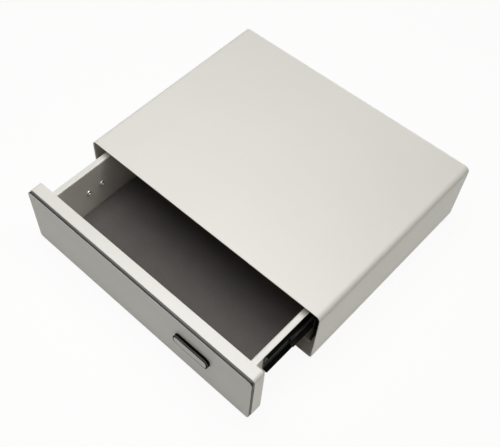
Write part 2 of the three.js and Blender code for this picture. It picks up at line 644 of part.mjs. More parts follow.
// One cell, with its raised contact to the right.
function battery(column, row) {
  const x = HOLDER_X + column * CELL_RUN;
  const y = HOLDER_FRONT + HOLDER_WALL + BATTERY_RADIUS + SEAT_GAP / 2;
  const z = HOLDER_HEIGHT_ABOVE_BASE + (row - 0.5) * BATTERY_PITCH;
  const can = rodX(BATTERY_RADIUS, x, x + BATTERY_LENGTH - SEAT_GAP, y, z);
  const nub = rodX(BATTERY_NUB_RADIUS, x + BATTERY_LENGTH / 2, x + CELL_RUN - SEAT_GAP, y, z);
  return build([can, nub]);
}

// The lid over the battery window, inside the drawer.
function batteryCover() {
  const halfWidth = WINDOW_HALF_WIDTH + COVER_MARGIN;
  const halfHeight = WINDOW_HALF_HEIGHT + COVER_MARGIN;
  const z = HOLDER_HEIGHT_ABOVE_BASE;
  return box(
    HOLDER_X - halfWidth, HOLDER_X + halfWidth, TRAY_FRONT_WALL, TRAY_FRONT_WALL + COVER_SHEET,
    z - halfHeight, z + halfHeight);
}

// The places of the four screws that hold the panel to the tray.
function panelScrewPlaces() {
  const x = TRAY_WALL_X - PANEL_SCREW_SIDE_INSET;
  return [-x, x].flatMap((screwX) => PANEL_SCREW_HEIGHTS.map((z) => [screwX, z]));
}

// The holes for those screws.
function panelScrewHoles() {
  return panelScrewPlaces().map(([x, z]) => rodY(
    SLIDE_SCREW_RADIUS + SCREW_CLEARANCE, CAVITY_REAR - PANEL_SHEET, TRAY_FRONT_WALL + TRAY_SHEET, x, z));
}

// One panel screw, with its head inside the drawer.
function panelScrew(x, z) {
  const headRear = TRAY_FRONT_WALL + SLIDE_SCREW_HEAD_HEIGHT;
  const head = rodY(SLIDE_SCREW_HEAD_RADIUS, TRAY_FRONT_WALL, headRear, x, z);
  const shank = rodY(
    SLIDE_SCREW_RADIUS, CAVITY_REAR - PANEL_SCREW_REACH, headRear - SLIDE_SCREW_HEAD_HEIGHT / 2, x, z);
  return build([head, shank]);
}

// The hook's plane, its pivot and the two poses of its joint.
const HOOK_LEFT = -PANEL_HALF_WIDTH + PANEL_SHEET + HOOK_SIDE_CLEARANCE;
const HOOK_RIGHT = HOOK_LEFT + HOOK_PLATE;
const HOOK_PIVOT_Y = (CAVITY_FRONT + CAVITY_REAR) / 2;
const HOOK_NOTCH_REAR = HOOK_REACH - HOOK_NOSE_LENGTH;
const HOOK_PIN_REACH = HOOK_NOTCH_REAR - HOOK_PIN_CLEARANCE - STRIKER_PIN_RADIUS;
const HOOK_NOTCH_FRONT = HOOK_PIN_REACH - STRIKER_PIN_RADIUS - HOOK_PIN_CLEARANCE;
const HOOK_NOTCH_TOP = STRIKER_PIN_RADIUS - STRIKER_PIN_DROP + HOOK_PIN_CLEARANCE;
const HOOK_RELEASE = THREE.MathUtils.degToRad(HOOK_RELEASE_DEGREES);

// The striker pin's Y and Z, where the closed drawer's lowered hook meets it.
function strikerPinCentre() {
  return [HOOK_PIVOT_Y + HOOK_PIN_REACH, HOOK_PIVOT_HEIGHT - STRIKER_PIN_DROP];
}

// The hook about its pivot: a round hub, an arm to the back and a nose behind the pin's notch.
function latchHook() {
  const arm = polygon([
    [0, -HOOK_ARM_BELOW], [HOOK_NOTCH_FRONT, -HOOK_ARM_BELOW], [HOOK_NOTCH_FRONT, HOOK_NOTCH_TOP],
    [HOOK_NOTCH_REAR, HOOK_NOTCH_TOP], [HOOK_NOTCH_REAR, -HOOK_NOSE_DROP],
    [HOOK_REACH - HOOK_NOSE_CHAMFER, -HOOK_NOSE_DROP], [HOOK_REACH, HOOK_NOSE_CHAMFER - HOOK_NOSE_DROP],
    [HOOK_REACH, HOOK_ARM_ABOVE], [0, HOOK_ARM_ABOVE],
  ]);
  const plate = extrudeX(arm, HOOK_LEFT, HOOK_RIGHT);
  const hub = rodX(HOOK_HUB_RADIUS, HOOK_LEFT, HOOK_RIGHT, 0, 0);
  const bore = rodX(
    SHAFT_RADIUS + SCREW_CLEARANCE, HOOK_LEFT - SHAFT_OVERHANG, HOOK_RIGHT + SHAFT_OVERHANG, 0, 0);
  return build([plate, hub], [bore]);
}

// The motor shaft that the hook sits on.
function hookShaft() {
  return rodX(SHAFT_RADIUS, HOOK_LEFT - SHAFT_OVERHANG, GEARBOX_LEFT, 0, 0);
}

// The slot in the panel's back that the hook swings in.
function hookSlot() {
  const wallReach = PANEL_REAR - HOOK_PIVOT_Y;
  const rise = wallReach * Math.tan(HOOK_RELEASE) + HOOK_ARM_ABOVE / Math.cos(HOOK_RELEASE);
  return box(
    HOOK_LEFT - SLOT_CLEARANCE, HOOK_RIGHT + SLOT_CLEARANCE, CAVITY_REAR - PANEL_SHEET,
    PANEL_REAR + PANEL_SHEET, HOOK_PIVOT_HEIGHT - HOOK_ARM_BELOW - SLOT_CLEARANCE,
    HOOK_PIVOT_HEIGHT + rise + SLOT_CLEARANCE);
}

// X planes of the lock's drive.
const GEARBOX_LEFT = HOOK_RIGHT + SLOT_CLEARANCE + SEAT_GAP;
const GEARBOX_RIGHT = GEARBOX_LEFT + GEARBOX_LENGTH;
const MOTOR_RIGHT = GEARBOX_RIGHT + MOTOR_LENGTH;

// The gearbox of the lock motor.
function lockGearbox() {
  const [y, z] = [HOOK_PIVOT_Y, HOOK_PIVOT_HEIGHT];
  return box(
    GEARBOX_LEFT, GEARBOX_RIGHT, y - MOTOR_DEPTH / 2, y + MOTOR_DEPTH / 2,
    z - MOTOR_WIDTH / 2, z + MOTOR_WIDTH / 2);
}

// The motor's can, round above and below and flat at the front and back.
function lockMotor() {
  const radius = MOTOR_WIDTH / 2;
  const [y, z] = [HOOK_PIVOT_Y, HOOK_PIVOT_HEIGHT];
  const can = rodX(radius, GEARBOX_RIGHT, MOTOR_RIGHT, y, z);
  const keep = box(
    GEARBOX_RIGHT, MOTOR_RIGHT, y - MOTOR_DEPTH / 2, y + MOTOR_DEPTH / 2, z - radius, z + radius);
  return geometryOf(solidOf(can).intersect(solidOf(keep)));
}

// The bracket that clips the gearbox to the panel's back.
function motorBracket() {
  const gripFront = HOOK_PIVOT_Y - MOTOR_DEPTH / 2;
  const seat = HOOK_PIVOT_Y + MOTOR_DEPTH / 2;
  const grip = MOTOR_WIDTH / 2;
  const half = grip + MOTOR_CHEEK + MOTOR_BRACKET_MARGIN;
  const outline = polygon([
    [CAVITY_REAR, -half], [CAVITY_REAR, half], [seat, half], [seat, grip + MOTOR_CHEEK],
    [gripFront, grip + MOTOR_CHEEK], [gripFront, grip], [seat, grip], [seat, -grip], [gripFront, -grip],
    [gripFront, -grip - MOTOR_CHEEK], [seat, -grip - MOTOR_CHEEK], [seat, -half],
  ]);
  return extrudeX(outline, GEARBOX_LEFT, GEARBOX_RIGHT).translate(0, 0, HOOK_PIVOT_HEIGHT);
}

// Sweeps a round lead along a smooth curve through points.
function lead(points) {
  const curve = new THREE.CatmullRomCurve3(points.map((p) => new THREE.Vector3(...p)));
  const section = new THREE.Shape();
  section.absarc(0, 0, LEAD_RADIUS, 0, 2 * Math.PI, false);
  const settings = { steps: LEAD_STEPS, extrudePath: curve, curveSegments: LEAD_SIDES };
  return new THREE.ExtrudeGeometry(section, settings);
}

// The lead from the lock motor to the board, laid over the battery holder.
function motorLead() {
  const y = HOOK_PIVOT_Y;
  const boardLeft = PAD_X - BOARD_WIDTH / 2;
  const over = HOLDER_HEIGHT_ABOVE_BASE + WINDOW_HALF_HEIGHT + HOLDER_WALL + LEAD_LIFT;
  const inward = BOARD_FRONT - LEAD_RADIUS - SEAT_GAP;
  return lead([
    [MOTOR_RIGHT + SEAT_GAP, y, HOOK_PIVOT_HEIGHT],
    [MOTOR_RIGHT + LEAD_LIFT, y, HOOK_PIVOT_HEIGHT],
    [HOLDER_X - WINDOW_HALF_WIDTH, y, over],
    [HOLDER_X, y, over],
    [HOLDER_X + WINDOW_HALF_WIDTH, y, over],
    [boardLeft - LEAD_LIFT, inward, PAD_HEIGHT_ABOVE_BASE + BOARD_HEIGHT / 2 - 2 * LEAD_LIFT],
    [boardLeft + LEAD_LIFT, inward, PAD_HEIGHT_ABOVE_BASE + BOARD_HEIGHT / 2 - 2 * LEAD_LIFT],
  ]);
}

// The lead from the battery holder to the board.
function batteryLead() {
  const start = HOLDER_X + WINDOW_HALF_WIDTH + HOLDER_WALL + SEAT_GAP;
  const boardLeft = PAD_X - BOARD_WIDTH / 2;
  const inward = BOARD_FRONT - LEAD_RADIUS - SEAT_GAP;
  return lead([
    [start, HOOK_PIVOT_Y, HOLDER_HEIGHT_ABOVE_BASE],
    [start + LEAD_LIFT, HOOK_PIVOT_Y, HOLDER_HEIGHT_ABOVE_BASE],
    [boardLeft - LEAD_LIFT, inward, HOLDER_HEIGHT_ABOVE_BASE],
    [boardLeft + LEAD_LIFT, inward, HOLDER_HEIGHT_ABOVE_BASE],
  ]);
}

const SIDES = [["left", -1], ["right", 1]];

// The housing with what is fixed in it.
function addHousing(parent) {
  addPart(parent, "housing_shell", housingShell(), LIGHT_PAINT);
  addPart(parent, "rear_plate", rearPlate(), LIGHT_PAINT);
  addPart(parent, "striker_plate", strikerPlate(), BRIGHT_STEEL);
  addPart(parent, "striker_pin", strikerPin(), BRIGHT_STEEL);
  for (const [name, side] of SIDES) {
    addPart(parent, `slide_bracket_${name}`, slideBracket(side), LIGHT_PAINT);
    addPart(parent, `slide_fixed_member_${name}`, fixedMember(side), BLACK_STEEL);
    addPart(parent, `rear_bumper_${name}`, rearBumper(side * BUMPER_X), RUBBER);
  }
}

// The floating slide members and ball cages, each moved by its share of the drawer's opening.
function addSlideMovers(parent) {
  const middle = addGroup(parent, 0, -DRAWER_OPEN / 2, 0);
  const outerCages = addGroup(parent, 0, -DRAWER_OPEN / 4, 0);
  const innerCages = addGroup(parent, 0, -3 * DRAWER_OPEN / 4, 0);
  const innerWebX = (TRAY_OUTER_X + SLIDE_SHEET + MIDDLE_WEB_X - CAGE_SHEET) / 2;
  const outerWebX = (MIDDLE_WEB_X + SLIDE_SHEET + FIXED_LIP_X - CAGE_SHEET) / 2;
  for (const [name, side] of SIDES) {
    addPart(middle, `slide_middle_member_${name}`, middleMember(side), BLACK_STEEL);
    const innerCage = ballCage(side, innerWebX, DRAWER_LIP_X - SEAT_GAP, MIDDLE_MEMBER_HEIGHT);
    const outerCage = ballCage(side, outerWebX, MIDDLE_LIP_X - SEAT_GAP, FIXED_MEMBER_HEIGHT);
    addPart(innerCages, `inner_ball_cage_${name}`, innerCage, BRIGHT_STEEL);
    addPart(outerCages, `outer_ball_cage_${name}`, outerCage, BRIGHT_STEEL);
  }
}

// The tray with its mat, slide members and screws.
function addTray(drawer) {
  addPart(drawer, "drawer_tray", drawerTray(), LIGHT_PAINT);
  addPart(drawer, "foam_mat", foamMat(), FOAM);
  for (const [name, side] of SIDES) {
    addPart(drawer, `slide_drawer_member_${name}`, drawerMember(side), BLACK_STEEL);
    SLIDE_SCREW_PLACES.forEach((y, i) => {
      addPart(drawer, `slide_screw_${name}_${i + 1}`, slideScrew(side, y), BRIGHT_STEEL);
    });
  }
  panelScrewPlaces().forEach(([x, z], i) => {
    addPart(drawer, `panel_screw_${i + 1}`, panelScrew(x, z), BRIGHT_STEEL);
  });
}

// The front panel with its fascia, pad, electronics and batteries.
function addPanel(drawer) {
  addPart(drawer, "panel_body", panelBody(), LIGHT_PAINT);
  addPart(drawer, "fascia_gasket", fasciaGasket(), RUBBER);
  addPart(drawer, "fascia_backplate", fasciaPlate(BACKPLATE_FRONT, GASKET_FRONT), BLACK_PLASTIC);
  addPart(drawer, "fascia_face", fasciaPlate(FACE_FRONT, BACKPLATE_FRONT), SILVER_FACE);
  addPart(drawer, "pad_surround", padSurround(), BLACK_PLASTIC);
  addPart(drawer, "pad_key", padKey(), BLACK_PLASTIC);
  addPart(drawer, "key_face", keyFace(), SILVER_FACE);
  addPart(drawer, "pad_switch", padSwitch(), BLACK_PLASTIC);
  addPart(drawer, "key_dome", keyDome(), RUBBER);
  addPart(drawer, "control_board", controlBoard(), BOARD_GREEN);
  addPart(drawer, "buzzer", buzzer(), BLACK_PLASTIC);
  addPart(drawer, "battery_holder", batteryHolder(), BLACK_PLASTIC);
  addPart(drawer, "battery_cover", batteryCover(), BLACK_PLASTIC);
  addPart(drawer, "battery_lead", batteryLead(), LEAD_SLEEVE);
  for (const row of [0, 1]) {
    for (const column of [-1, 0]) {
      addPart(drawer, `battery_${2 * row + column + 2}`, battery(column, row), BATTERY_SLEEVE);
    }
  }
}

// The motor lock, with its hook raised.
function addLock(drawer) {
  addPart(drawer, "lock_gearbox", lockGearbox(), BRIGHT_STEEL);
  addPart(drawer, "lock_motor", lockMotor(), BRIGHT_STEEL);
  addPart(drawer, "motor_bracket", motorBracket(), BRIGHT_STEEL);
  addPart(drawer, "motor_lead", motorLead(), LEAD_SLEEVE);
  const pivot = addGroup(drawer, 0, HOOK_PIVOT_Y, HOOK_PIVOT_HEIGHT);
  pivot.rotation.x = HOOK_RELEASE;
  addPart(pivot, "latch_hook", latchHook(), BRIGHT_STEEL);
  addPart(pivot, "hook_shaft", hookShaft(), BRIGHT_STEEL);
}

const group = new THREE.Group();
const drawer = addGroup(group, 0, -DRAWER_OPEN, 0);
addHousing(group);
addSlideMovers(group);
addTray(drawer);
addPanel(drawer);
addLock(drawer);

export default group;
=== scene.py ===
"""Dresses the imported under-desk drawer safe and lights it in a plain studio.

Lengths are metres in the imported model's own frame: X to the right, Y to the back and Z up. The drawer
opens towards -Y and stands partly open at rest.
"""

import logging
import math
from collections.abc import Iterable, Sequence
from dataclasses import dataclass
from enum import Enum

import bmesh
import bpy
from mathutils import Euler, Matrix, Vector
from mathutils.geometry import tessellate_polygon


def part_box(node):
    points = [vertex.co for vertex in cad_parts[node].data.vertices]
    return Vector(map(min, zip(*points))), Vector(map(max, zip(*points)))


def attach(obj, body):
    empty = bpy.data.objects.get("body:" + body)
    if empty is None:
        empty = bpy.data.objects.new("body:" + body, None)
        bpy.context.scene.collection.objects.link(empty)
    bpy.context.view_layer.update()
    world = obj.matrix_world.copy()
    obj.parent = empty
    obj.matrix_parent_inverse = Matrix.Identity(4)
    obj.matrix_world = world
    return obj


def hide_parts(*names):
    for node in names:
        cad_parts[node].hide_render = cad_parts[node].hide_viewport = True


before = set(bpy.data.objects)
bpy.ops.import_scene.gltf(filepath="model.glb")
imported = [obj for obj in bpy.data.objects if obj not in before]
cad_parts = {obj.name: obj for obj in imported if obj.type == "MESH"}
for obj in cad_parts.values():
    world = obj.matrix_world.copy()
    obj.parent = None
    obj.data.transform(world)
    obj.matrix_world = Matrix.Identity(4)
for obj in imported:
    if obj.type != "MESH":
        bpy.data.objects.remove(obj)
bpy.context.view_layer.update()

log = logging.getLogger("drawer_safe")

Point = tuple[float, float]
Triple = tuple[float, float, float]
Corner = Triple
Colour = Triple

MM = 0.001
PAST = 1.0 * MM       # how far a cutting tool reaches past what it cuts
ON_AXIS = 1e-9        # the radius below which a ring of a turned form is one point
WELD = 1e-7           # points closer than this are joined
MATCH = 1e-5          # how well a point has to lie on an outline to count as on it
SHARP_FOLD = 50.0     # the fold, in degrees, from which an edge is shaded sharp
LEAST_MITRE = 0.5     # the least cosine that a bent sheet's mitres are worked out with
OCTAVE = 0.55         # how strong each finer octave of a noise is
WHITE = (1.0, 1.0, 1.0, 1.0)


class Along(Enum):
    """The direction that an outline is extruded in, or that a turned piece is turned about."""

    X = "x"
    Y = "y"
    Z = "z"

    def place(self, u: float, v: float, w: float) -> Vector:
        """Gives a point in space.

        Args:
            u: The point's first place on the outline's plane.
            v: Its second place there.
            w: Its place along the direction.

        Returns:
            The point.
        """
        if self is Along.X:
            return Vector((w, u, v))
        return Vector((u, w, v)) if self is Along.Y else Vector((u, v, w))


class Side(Enum):
    """The two hands of the pieces that come in pairs."""

    LEFT = -1
    RIGHT = 1

    @property
    def word(self) -> str:
        """The side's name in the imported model."""
        return self.name.lower()


# Shader maths


class Value:
    """A shader socket that takes part in ordinary Python expressions."""

    def __init__(self, shader: "Nodes", socket: bpy.types.NodeSocket) -> None:
        """Wraps one output socket of a node."""
        self.shader = shader
        self.socket = socket

    def _maths(self, operation: str, *terms: "Value | float") -> "Value":
        """Adds a Math node.

        Args:
            operation: The node's operation.
            terms: Its inputs, in order.

        Returns:
            The node's result.
        """
        return self.shader.node("ShaderNodeMath", {"operation": operation}, dict(enumerate(terms)))

    def __add__(self, other: "Value | float") -> "Value":
        """Adds."""
        return self._maths("ADD", self, other)

    def __radd__(self, other: float) -> "Value":
        """Adds, with the number first."""
        return self._maths("ADD", other, self)

    def __sub__(self, other: "Value | float") -> "Value":
        """Subtracts."""
        return self._maths("SUBTRACT", self, other)

    def __rsub__(self, other: float) -> "Value":
        """Subtracts, with the number first."""
        return self._maths("SUBTRACT", other, self)

    def __mul__(self, other: "Value | float") -> "Value":
        """Multiplies."""
        return self._maths("MULTIPLY", self, other)

    def __rmul__(self, other: float) -> "Value":
        """Multiplies, with the number first."""
        return self._maths("MULTIPLY", other, self)

    def ramp(self, low: float, high: float) -> "Value":
        """Gives 0 below low, 1 above high and a smooth step between them."""
        return self.shader.node("ShaderNodeMapRange", {"interpolation_type": "SMOOTHSTEP"},
                                {0: self, 1: low, 2: high, 3: 0.0, 4: 1.0})

    def most(self, other: "Value | float") -> "Value":
        """Gives the larger of two values."""
        return self._maths("MAXIMUM", self, other)


class Nodes:
    """A node tree that is put together in Python expressions."""

    def __init__(self, tree: bpy.types.NodeTree) -> None:
        """Takes over a tree and empties it."""
        self.tree = tree
        self.tree.nodes.clear()

    def node(self, kind: str, settings: dict[str, object], sockets: dict[int | str, object],
             result: int | str = 0) -> Value:
        """Adds one node.

        Args:
            kind: The node's type.
            settings: Its properties, set first.
            sockets: Its inputs by index or name, each a value to set or a Value to link.
            result: The output to hand back.

        Returns:
            The chosen output.
        """
        made = self.tree.nodes.new(kind)
        for key, setting in settings.items():
            setattr(made, key, setting)
        for key, given in sockets.items():
            self.feed(made, key, given)
        return Value(self, made.outputs[result])

    def feed(self, made: bpy.types.Node, key: int | str, given: object) -> None:
        """Sets or links one input of a node.

        Args:
            made: The node.
            key: The input's index or name.
            given: A value to set, or a Value to link.
        """
        if isinstance(given, Value):
            self.tree.links.new(given.socket, made.inputs[key])
        else:
            made.inputs[key].default_value = given

    def seen(self) -> Value:
        """Tells rays that see a surface from rays that only carry light.

        Returns:
            1 for rays from the camera, in reflections and through clear pieces, and 0 for others.
        """
        rays = [self.node("ShaderNodeLightPath", {}, {}, word)
                for word in ("Is Camera Ray", "Is Glossy Ray", "Is Transmission Ray")]
        return rays[0].most(rays[1]).most(rays[2])


class Shader(Nodes):
    """One procedural material around a Principled shader."""

    def __init__(self, name: str) -> None:
        """Makes the material with an output and a Principled shader.

        Args:
            name: The material's name.
        """
        self.material = bpy.data.materials.new(name)
        self.material.use_nodes = True
        super().__init__(self.material.node_tree)
        self.output = self.tree.nodes.new("ShaderNodeOutputMaterial")
        self.surface = self.tree.nodes.new("ShaderNodeBsdfPrincipled")
        self.tree.links.new(self.surface.outputs[0], self.output.inputs[0])

    def finish(self, **sockets: object) -> None:
        """Sets or links the Principled shader's inputs.

        Args:
            sockets: Values by the inputs' names, with underscores for spaces.
        """
        for key, given in sockets.items():
            if isinstance(given, tuple) and len(given) == 3:
                given = (*given, 1.0)
            self.feed(self.surface, key.replace("_", " "), given)

    def place(self, stretch: Triple = (1.0, 1.0, 1.0)) -> Value:
        """Gives the object's own coordinates in metres, scaled along each axis by stretch."""
        point = self.node("ShaderNodeTexCoord", {}, {}, "Object")
        return self.node("ShaderNodeVectorMath", {"operation": "MULTIPLY"}, {0: point, 1: stretch})

    def noise(self, scale: float, detail: float = 2.0, stretch: Triple = (1.0, 1.0, 1.0)) -> Value:
        """Gives smooth noise around 0.5.

        Args:
            scale: Features per metre.
            detail: Octaves of finer noise.
            stretch: How much denser the noise is along each axis.

        Returns:
            The noise's factor.
        """
        sockets = {"Vector": self.place(stretch), "Scale": scale, "Detail": detail, "Roughness": OCTAVE}
        return self.node("ShaderNodeTexNoise", {}, sockets, 0)

    def cells(self, scale: float, feature: str = "F1") -> Value:
        """Gives the distance to the nearest cell centre, scale cells to the metre."""
        return self.node("ShaderNodeTexVoronoi", {"feature": feature},
                         {"Vector": self.place(), "Scale": scale})

    def blend(self, factor: Value, low: Colour, high: Colour) -> Value:
        """Mixes two colours by a factor."""
        sockets = {0: factor, 6: (*low, 1.0), 7: (*high, 1.0)}
        return self.node("ShaderNodeMix", {"data_type": "RGBA"}, sockets, 2)

    def bump(self, height: Value, distance: float, strength: float) -> Value:
        """Turns a height into a normal.

        Args:
            height: The height, about 0 to 1.
            distance: The height of 1, in metres.
            strength: How strongly it shows.

        Returns:
            The bumped normal.
        """
        sockets = {"Strength": strength, "Distance": distance, "Height": height}
        return self.node("ShaderNodeBump", {}, sockets)


def scaled(colour: Colour, factor: float) -> Colour:
    """Gives a colour made lighter or darker."""
    return (colour[0] * factor, colour[1] * factor, colour[2] * factor)


# Finishes


@dataclass(frozen=True)
class Finish:
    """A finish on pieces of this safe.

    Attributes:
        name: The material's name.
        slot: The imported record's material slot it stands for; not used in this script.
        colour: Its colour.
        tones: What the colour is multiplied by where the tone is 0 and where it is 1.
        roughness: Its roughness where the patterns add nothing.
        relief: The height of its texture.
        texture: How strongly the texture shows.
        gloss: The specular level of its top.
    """

    name: str
    slot: str
    colour: Colour
    tones: Point = (0.8, 1.25)
    roughness: float = 0.5
    relief: float = 0.03 * MM
    texture: float = 0.4
    gloss: float = 0.5

    def dress(self, shader: Shader) -> None:
        """Adds the finish's nodes to a new material."""
        raise NotImplementedError

    def shades(self) -> tuple[Colour, Colour]:
        """Gives the colours where the tone is 0 and where it is 1."""
        low, high = self.tones
        return scaled(self.colour, low), scaled(self.colour, high)

    def coat(self, shader: Shader, tone: Value, rough: Value, height: Value, **more: float) -> None:
        """Feeds the finish's patterns to the shader.

        Args:
            shader: The material's shader.
            tone: Where the colour is dark and where it is light.
            rough: What the patterns add to the roughness.
            height: The texture's height.
            more: Other inputs of the Principled shader.
        """
        shader.finish(
            Base_Color=shader.blend(tone, *self.shades()),
            Roughness=self.roughness + rough,
            Normal=shader.bump(height, self.relief, self.texture),
            Specular_IOR_Level=self.gloss,
            **more,
        )

    def material(self) -> bpy.types.Material:
        """Makes the finish's material the first time that it is asked for.

        Returns:
            The material.
        """
        found = bpy.data.materials.get(self.name)
        if found is not None:
            return found
        shader = Shader(self.name)
        self.dress(shader)
        return shader.material


@dataclass(frozen=True)
class PowderCoat(Finish):
    """Fine-textured powder coat on sheet steel."""

    tones: Point = (0.95, 1.045)
    texture: float = 0.5
    gloss: float = 0.7
    drift_scale: float = 7.0
    grain_scale: float = 1500.0
    peel_scale: float = 420.0

    def dress(self, shader: Shader) -> None:
        """Adds slow tone drift, a fine grain and a faint orange peel.

        Args:
            shader: The material's shader.
        """
        drift = shader.noise(self.drift_scale, 3.0)
        grain = shader.noise(self.grain_scale)
        peel = shader.noise(self.peel_scale, 1.0)
        self.coat(shader, drift * 0.6 + grain * 0.4, grain * 0.12, grain * 0.5 + peel)


@dataclass(frozen=True)
class SatinSilver(Finish):
    """Satin silver lacquer with a faint draw along the panel's length."""

    tones: Point = (0.92, 1.08)
    roughness: float = 0.46
    relief: float = 0.02 * MM
    texture: float = 0.35
    gloss: float = 0.3
    streak_density: Triple = (18.0, 900.0, 900.0)
    flake_scale: float = 1900.0
    drift_scale: float = 6.0
    metallic: float = 0.03

    def dress(self, shader: Shader) -> None:
        """Adds long fine streaks, metal flake and slow tone drift.

        Args:
            shader: The material's shader.
        """
        streak = shader.noise(1.0, 3.0, self.streak_density)
        flake = shader.cells(self.flake_scale)
        tone = streak * 0.4 + flake * 0.25 + shader.noise(self.drift_scale) * 0.35
        self.coat(shader, tone, streak * 0.1, streak * 0.6 + flake * 0.4, Metallic=self.metallic)


@dataclass(frozen=True)
class MouldedBlack(Finish):
    """Black moulded plastic or black paint, spark-textured or smooth."""

    tones: Point = (1.0, 1.5)
    roughness: float = 0.45
    spark_scale: float = 1300.0
    bloom_scale: float = 40.0

    def dress(self, shader: Shader) -> None:
        """Adds the mould's spark texture and a little handling bloom.

        Args:
            shader: The material's shader.
        """
        spark = shader.noise(self.spark_scale)
        bloom = shader.noise(self.bloom_scale, 3.0).ramp(0.35, 0.75)
        self.coat(shader, bloom, spark * 0.08 + bloom * 0.05, spark)


@dataclass(frozen=True)
class RunnerBlack(Finish):
    """Black electro-coat on rolled slide steel, with painted highlights: paler bands along the rolled lines.
    """

    roughness: float = 0.46
    relief: float = 0.2 * MM
    texture: float = 0.5
    gloss: float = 0.08
    # painted highlight: the paler colour of the rolled lines stands in for light caught on the slide's ribs
    rib_highlight_colour: Colour = (0.12, 0.117, 0.11)
    line_scale: float = 34.9
    line_offset: float = 1.75
    grease_scale: float = 55.0

    def shades(self) -> tuple[Colour, Colour]:
        """Gives the coat's colour and the colour of its painted highlight lines."""
        return self.colour, self.rib_highlight_colour

    def dress(self, shader: Shader) -> None:
        """Adds the rolled lines along the slide, paler as painted highlights and bumped as ribs, and patches
        of grease.

        Args:
            shader: The material's shader.
        """
        lines = shader.node(
            "ShaderNodeTexWave", {"wave_type": "BANDS", "bands_direction": "Z"},
            {"Vector": shader.place(), "Scale": self.line_scale, "Distortion": 0.0,
             "Phase Offset": self.line_offset}, 1)
        grease = shader.noise(self.grease_scale, 3.0, (1.0, 0.35, 1.0)).ramp(0.4, 0.7)
        # the ramp of the lines paints the highlight bands; the grease darkens them in patches
        self.coat(shader, lines.ramp(0.55, 0.95) - grease * 0.3, grease * -0.08, lines)


@dataclass(frozen=True)
class PlatedSteel(Finish):
    """Bright zinc or nickel plate on steel."""

    colour: Colour = (0.62, 0.62, 0.60)
    tones: Point = (0.8, 1.1)
    roughness: float = 0.2
    relief: float = 0.02 * MM
    texture: float = 0.3
    spangle_scale: float = 700.0
    wear_scale: float = 900.0

    def dress(self, shader: Shader) -> None:
        """Adds plating spangle and fine wear.

        Args:
            shader: The material's shader.
        """
        wear = shader.noise(self.wear_scale, 3.0)
        tone = shader.cells(self.spangle_scale) * 0.6 + wear * 0.4
        self.coat(shader, tone, wear * 0.16, wear, Metallic=1.0)


@dataclass(frozen=True)
class FoamSheet(Finish):
    """Charcoal closed-cell foam with a matt skin."""

    tones: Point = (0.72, 1.3)
    roughness: float = 0.86
    relief: float = 0.18 * MM
    texture: float = 0.6
    gloss: float = 0.08
    cell_scale: float = 850.0
    fine_scale: float = 2200.0
    mottle_scale: float = 22.0

    def dress(self, shader: Shader) -> None:
        """Adds fine cells, a dusty bloom and slow mottling.

        Args:
            shader: The material's shader.
        """
        cell = shader.cells(self.cell_scale)
        fine = shader.noise(self.fine_scale)
        mottle = shader.noise(self.mottle_scale, 4.0)
        tone = cell * 0.35 + fine * 0.25 + mottle * 0.4
        self.coat(shader, tone, fine * 0.12, cell * 0.7 + fine * 0.3)


@dataclass(frozen=True)
class DarkRubber(Finish):
    """Moulded dark rubber."""

    colour: Colour = (0.028, 0.026, 0.024)
    gloss: float = 0.4
    bloom_scale: float = 90.0
    skin_scale: float = 1600.0

    def dress(self, shader: Shader) -> None:
        """Adds a soft bloom and a fine skin.

        Args:
            shader: The material's shader.
        """
        bloom = shader.noise(self.bloom_scale, 4.0)
        self.coat(shader, bloom, bloom * 0.1, shader.noise(self.skin_scale))


@dataclass(frozen=True)
class BoardLacquer(Finish):
    """Green solder mask over copper tracks."""

    tones: Point = (1.9, 1.0)
    roughness: float = 0.3
    relief: float = 0.04 * MM
    track_scale: float = 260.0
    clear_coat: float = 0.3

    def dress(self, shader: Shader) -> None:
        """Adds a net of tracks under the lacquer.

        Args:
            shader: The material's shader.
        """
        track = shader.cells(self.track_scale, "DISTANCE_TO_EDGE").ramp(0.02, 0.07)
        self.coat(shader, track, track * 0.1, track, Coat_Weight=self.clear_coat)


@dataclass(frozen=True)
class ShrinkSleeve(Finish):
    """A plain shrink sleeve, on a cell or a lead."""

    tones: Point = (0.85, 1.15)
    roughness: float = 0.3
    relief: float = 0.05 * MM
    texture: float = 0.3
    wrinkle_scale: float = 260.0

    def dress(self, shader: Shader) -> None:
        """Adds faint shrink wrinkles.

        Args:
            shader: The material's shader.
        """
        wrinkle = shader.noise(self.wrinkle_scale, 3.0, (0.3, 1.0, 1.0))
        self.coat(shader, wrinkle, wrinkle * 0.1, wrinkle)


BODY_PAINT = PowderCoat("body_paint", "light_paint", (0.755, 0.738, 0.675), roughness=0.31)
FACE_LACQUER = SatinSilver("face_lacquer", "silver_face", (0.56, 0.555, 0.525))
PAD_LACQUER = SatinSilver("pad_lacquer", "silver_face", (0.545, 0.54, 0.51))
TRIM_BLACK = MouldedBlack("trim_black", "black_plastic", (0.02, 0.019, 0.018), roughness=0.4, gloss=0.2)
# painted light and shade: two copies of the pad's black plastic, near-black on the surround for its shade and
# a lighter grey on the cap for its lit top
PAD_SHADE_BLACK = MouldedBlack(
    "pad_shade_black", "black_plastic", (0.004, 0.004, 0.004), roughness=0.55, gloss=0.03)
PAD_LIT_BLACK = MouldedBlack("pad_lit_black", "black_plastic", (0.1, 0.098, 0.094), texture=0.3, gloss=0.06)
BOX_BLACK = MouldedBlack("box_black", "black_plastic", (0.016, 0.016, 0.016), texture=0.8)
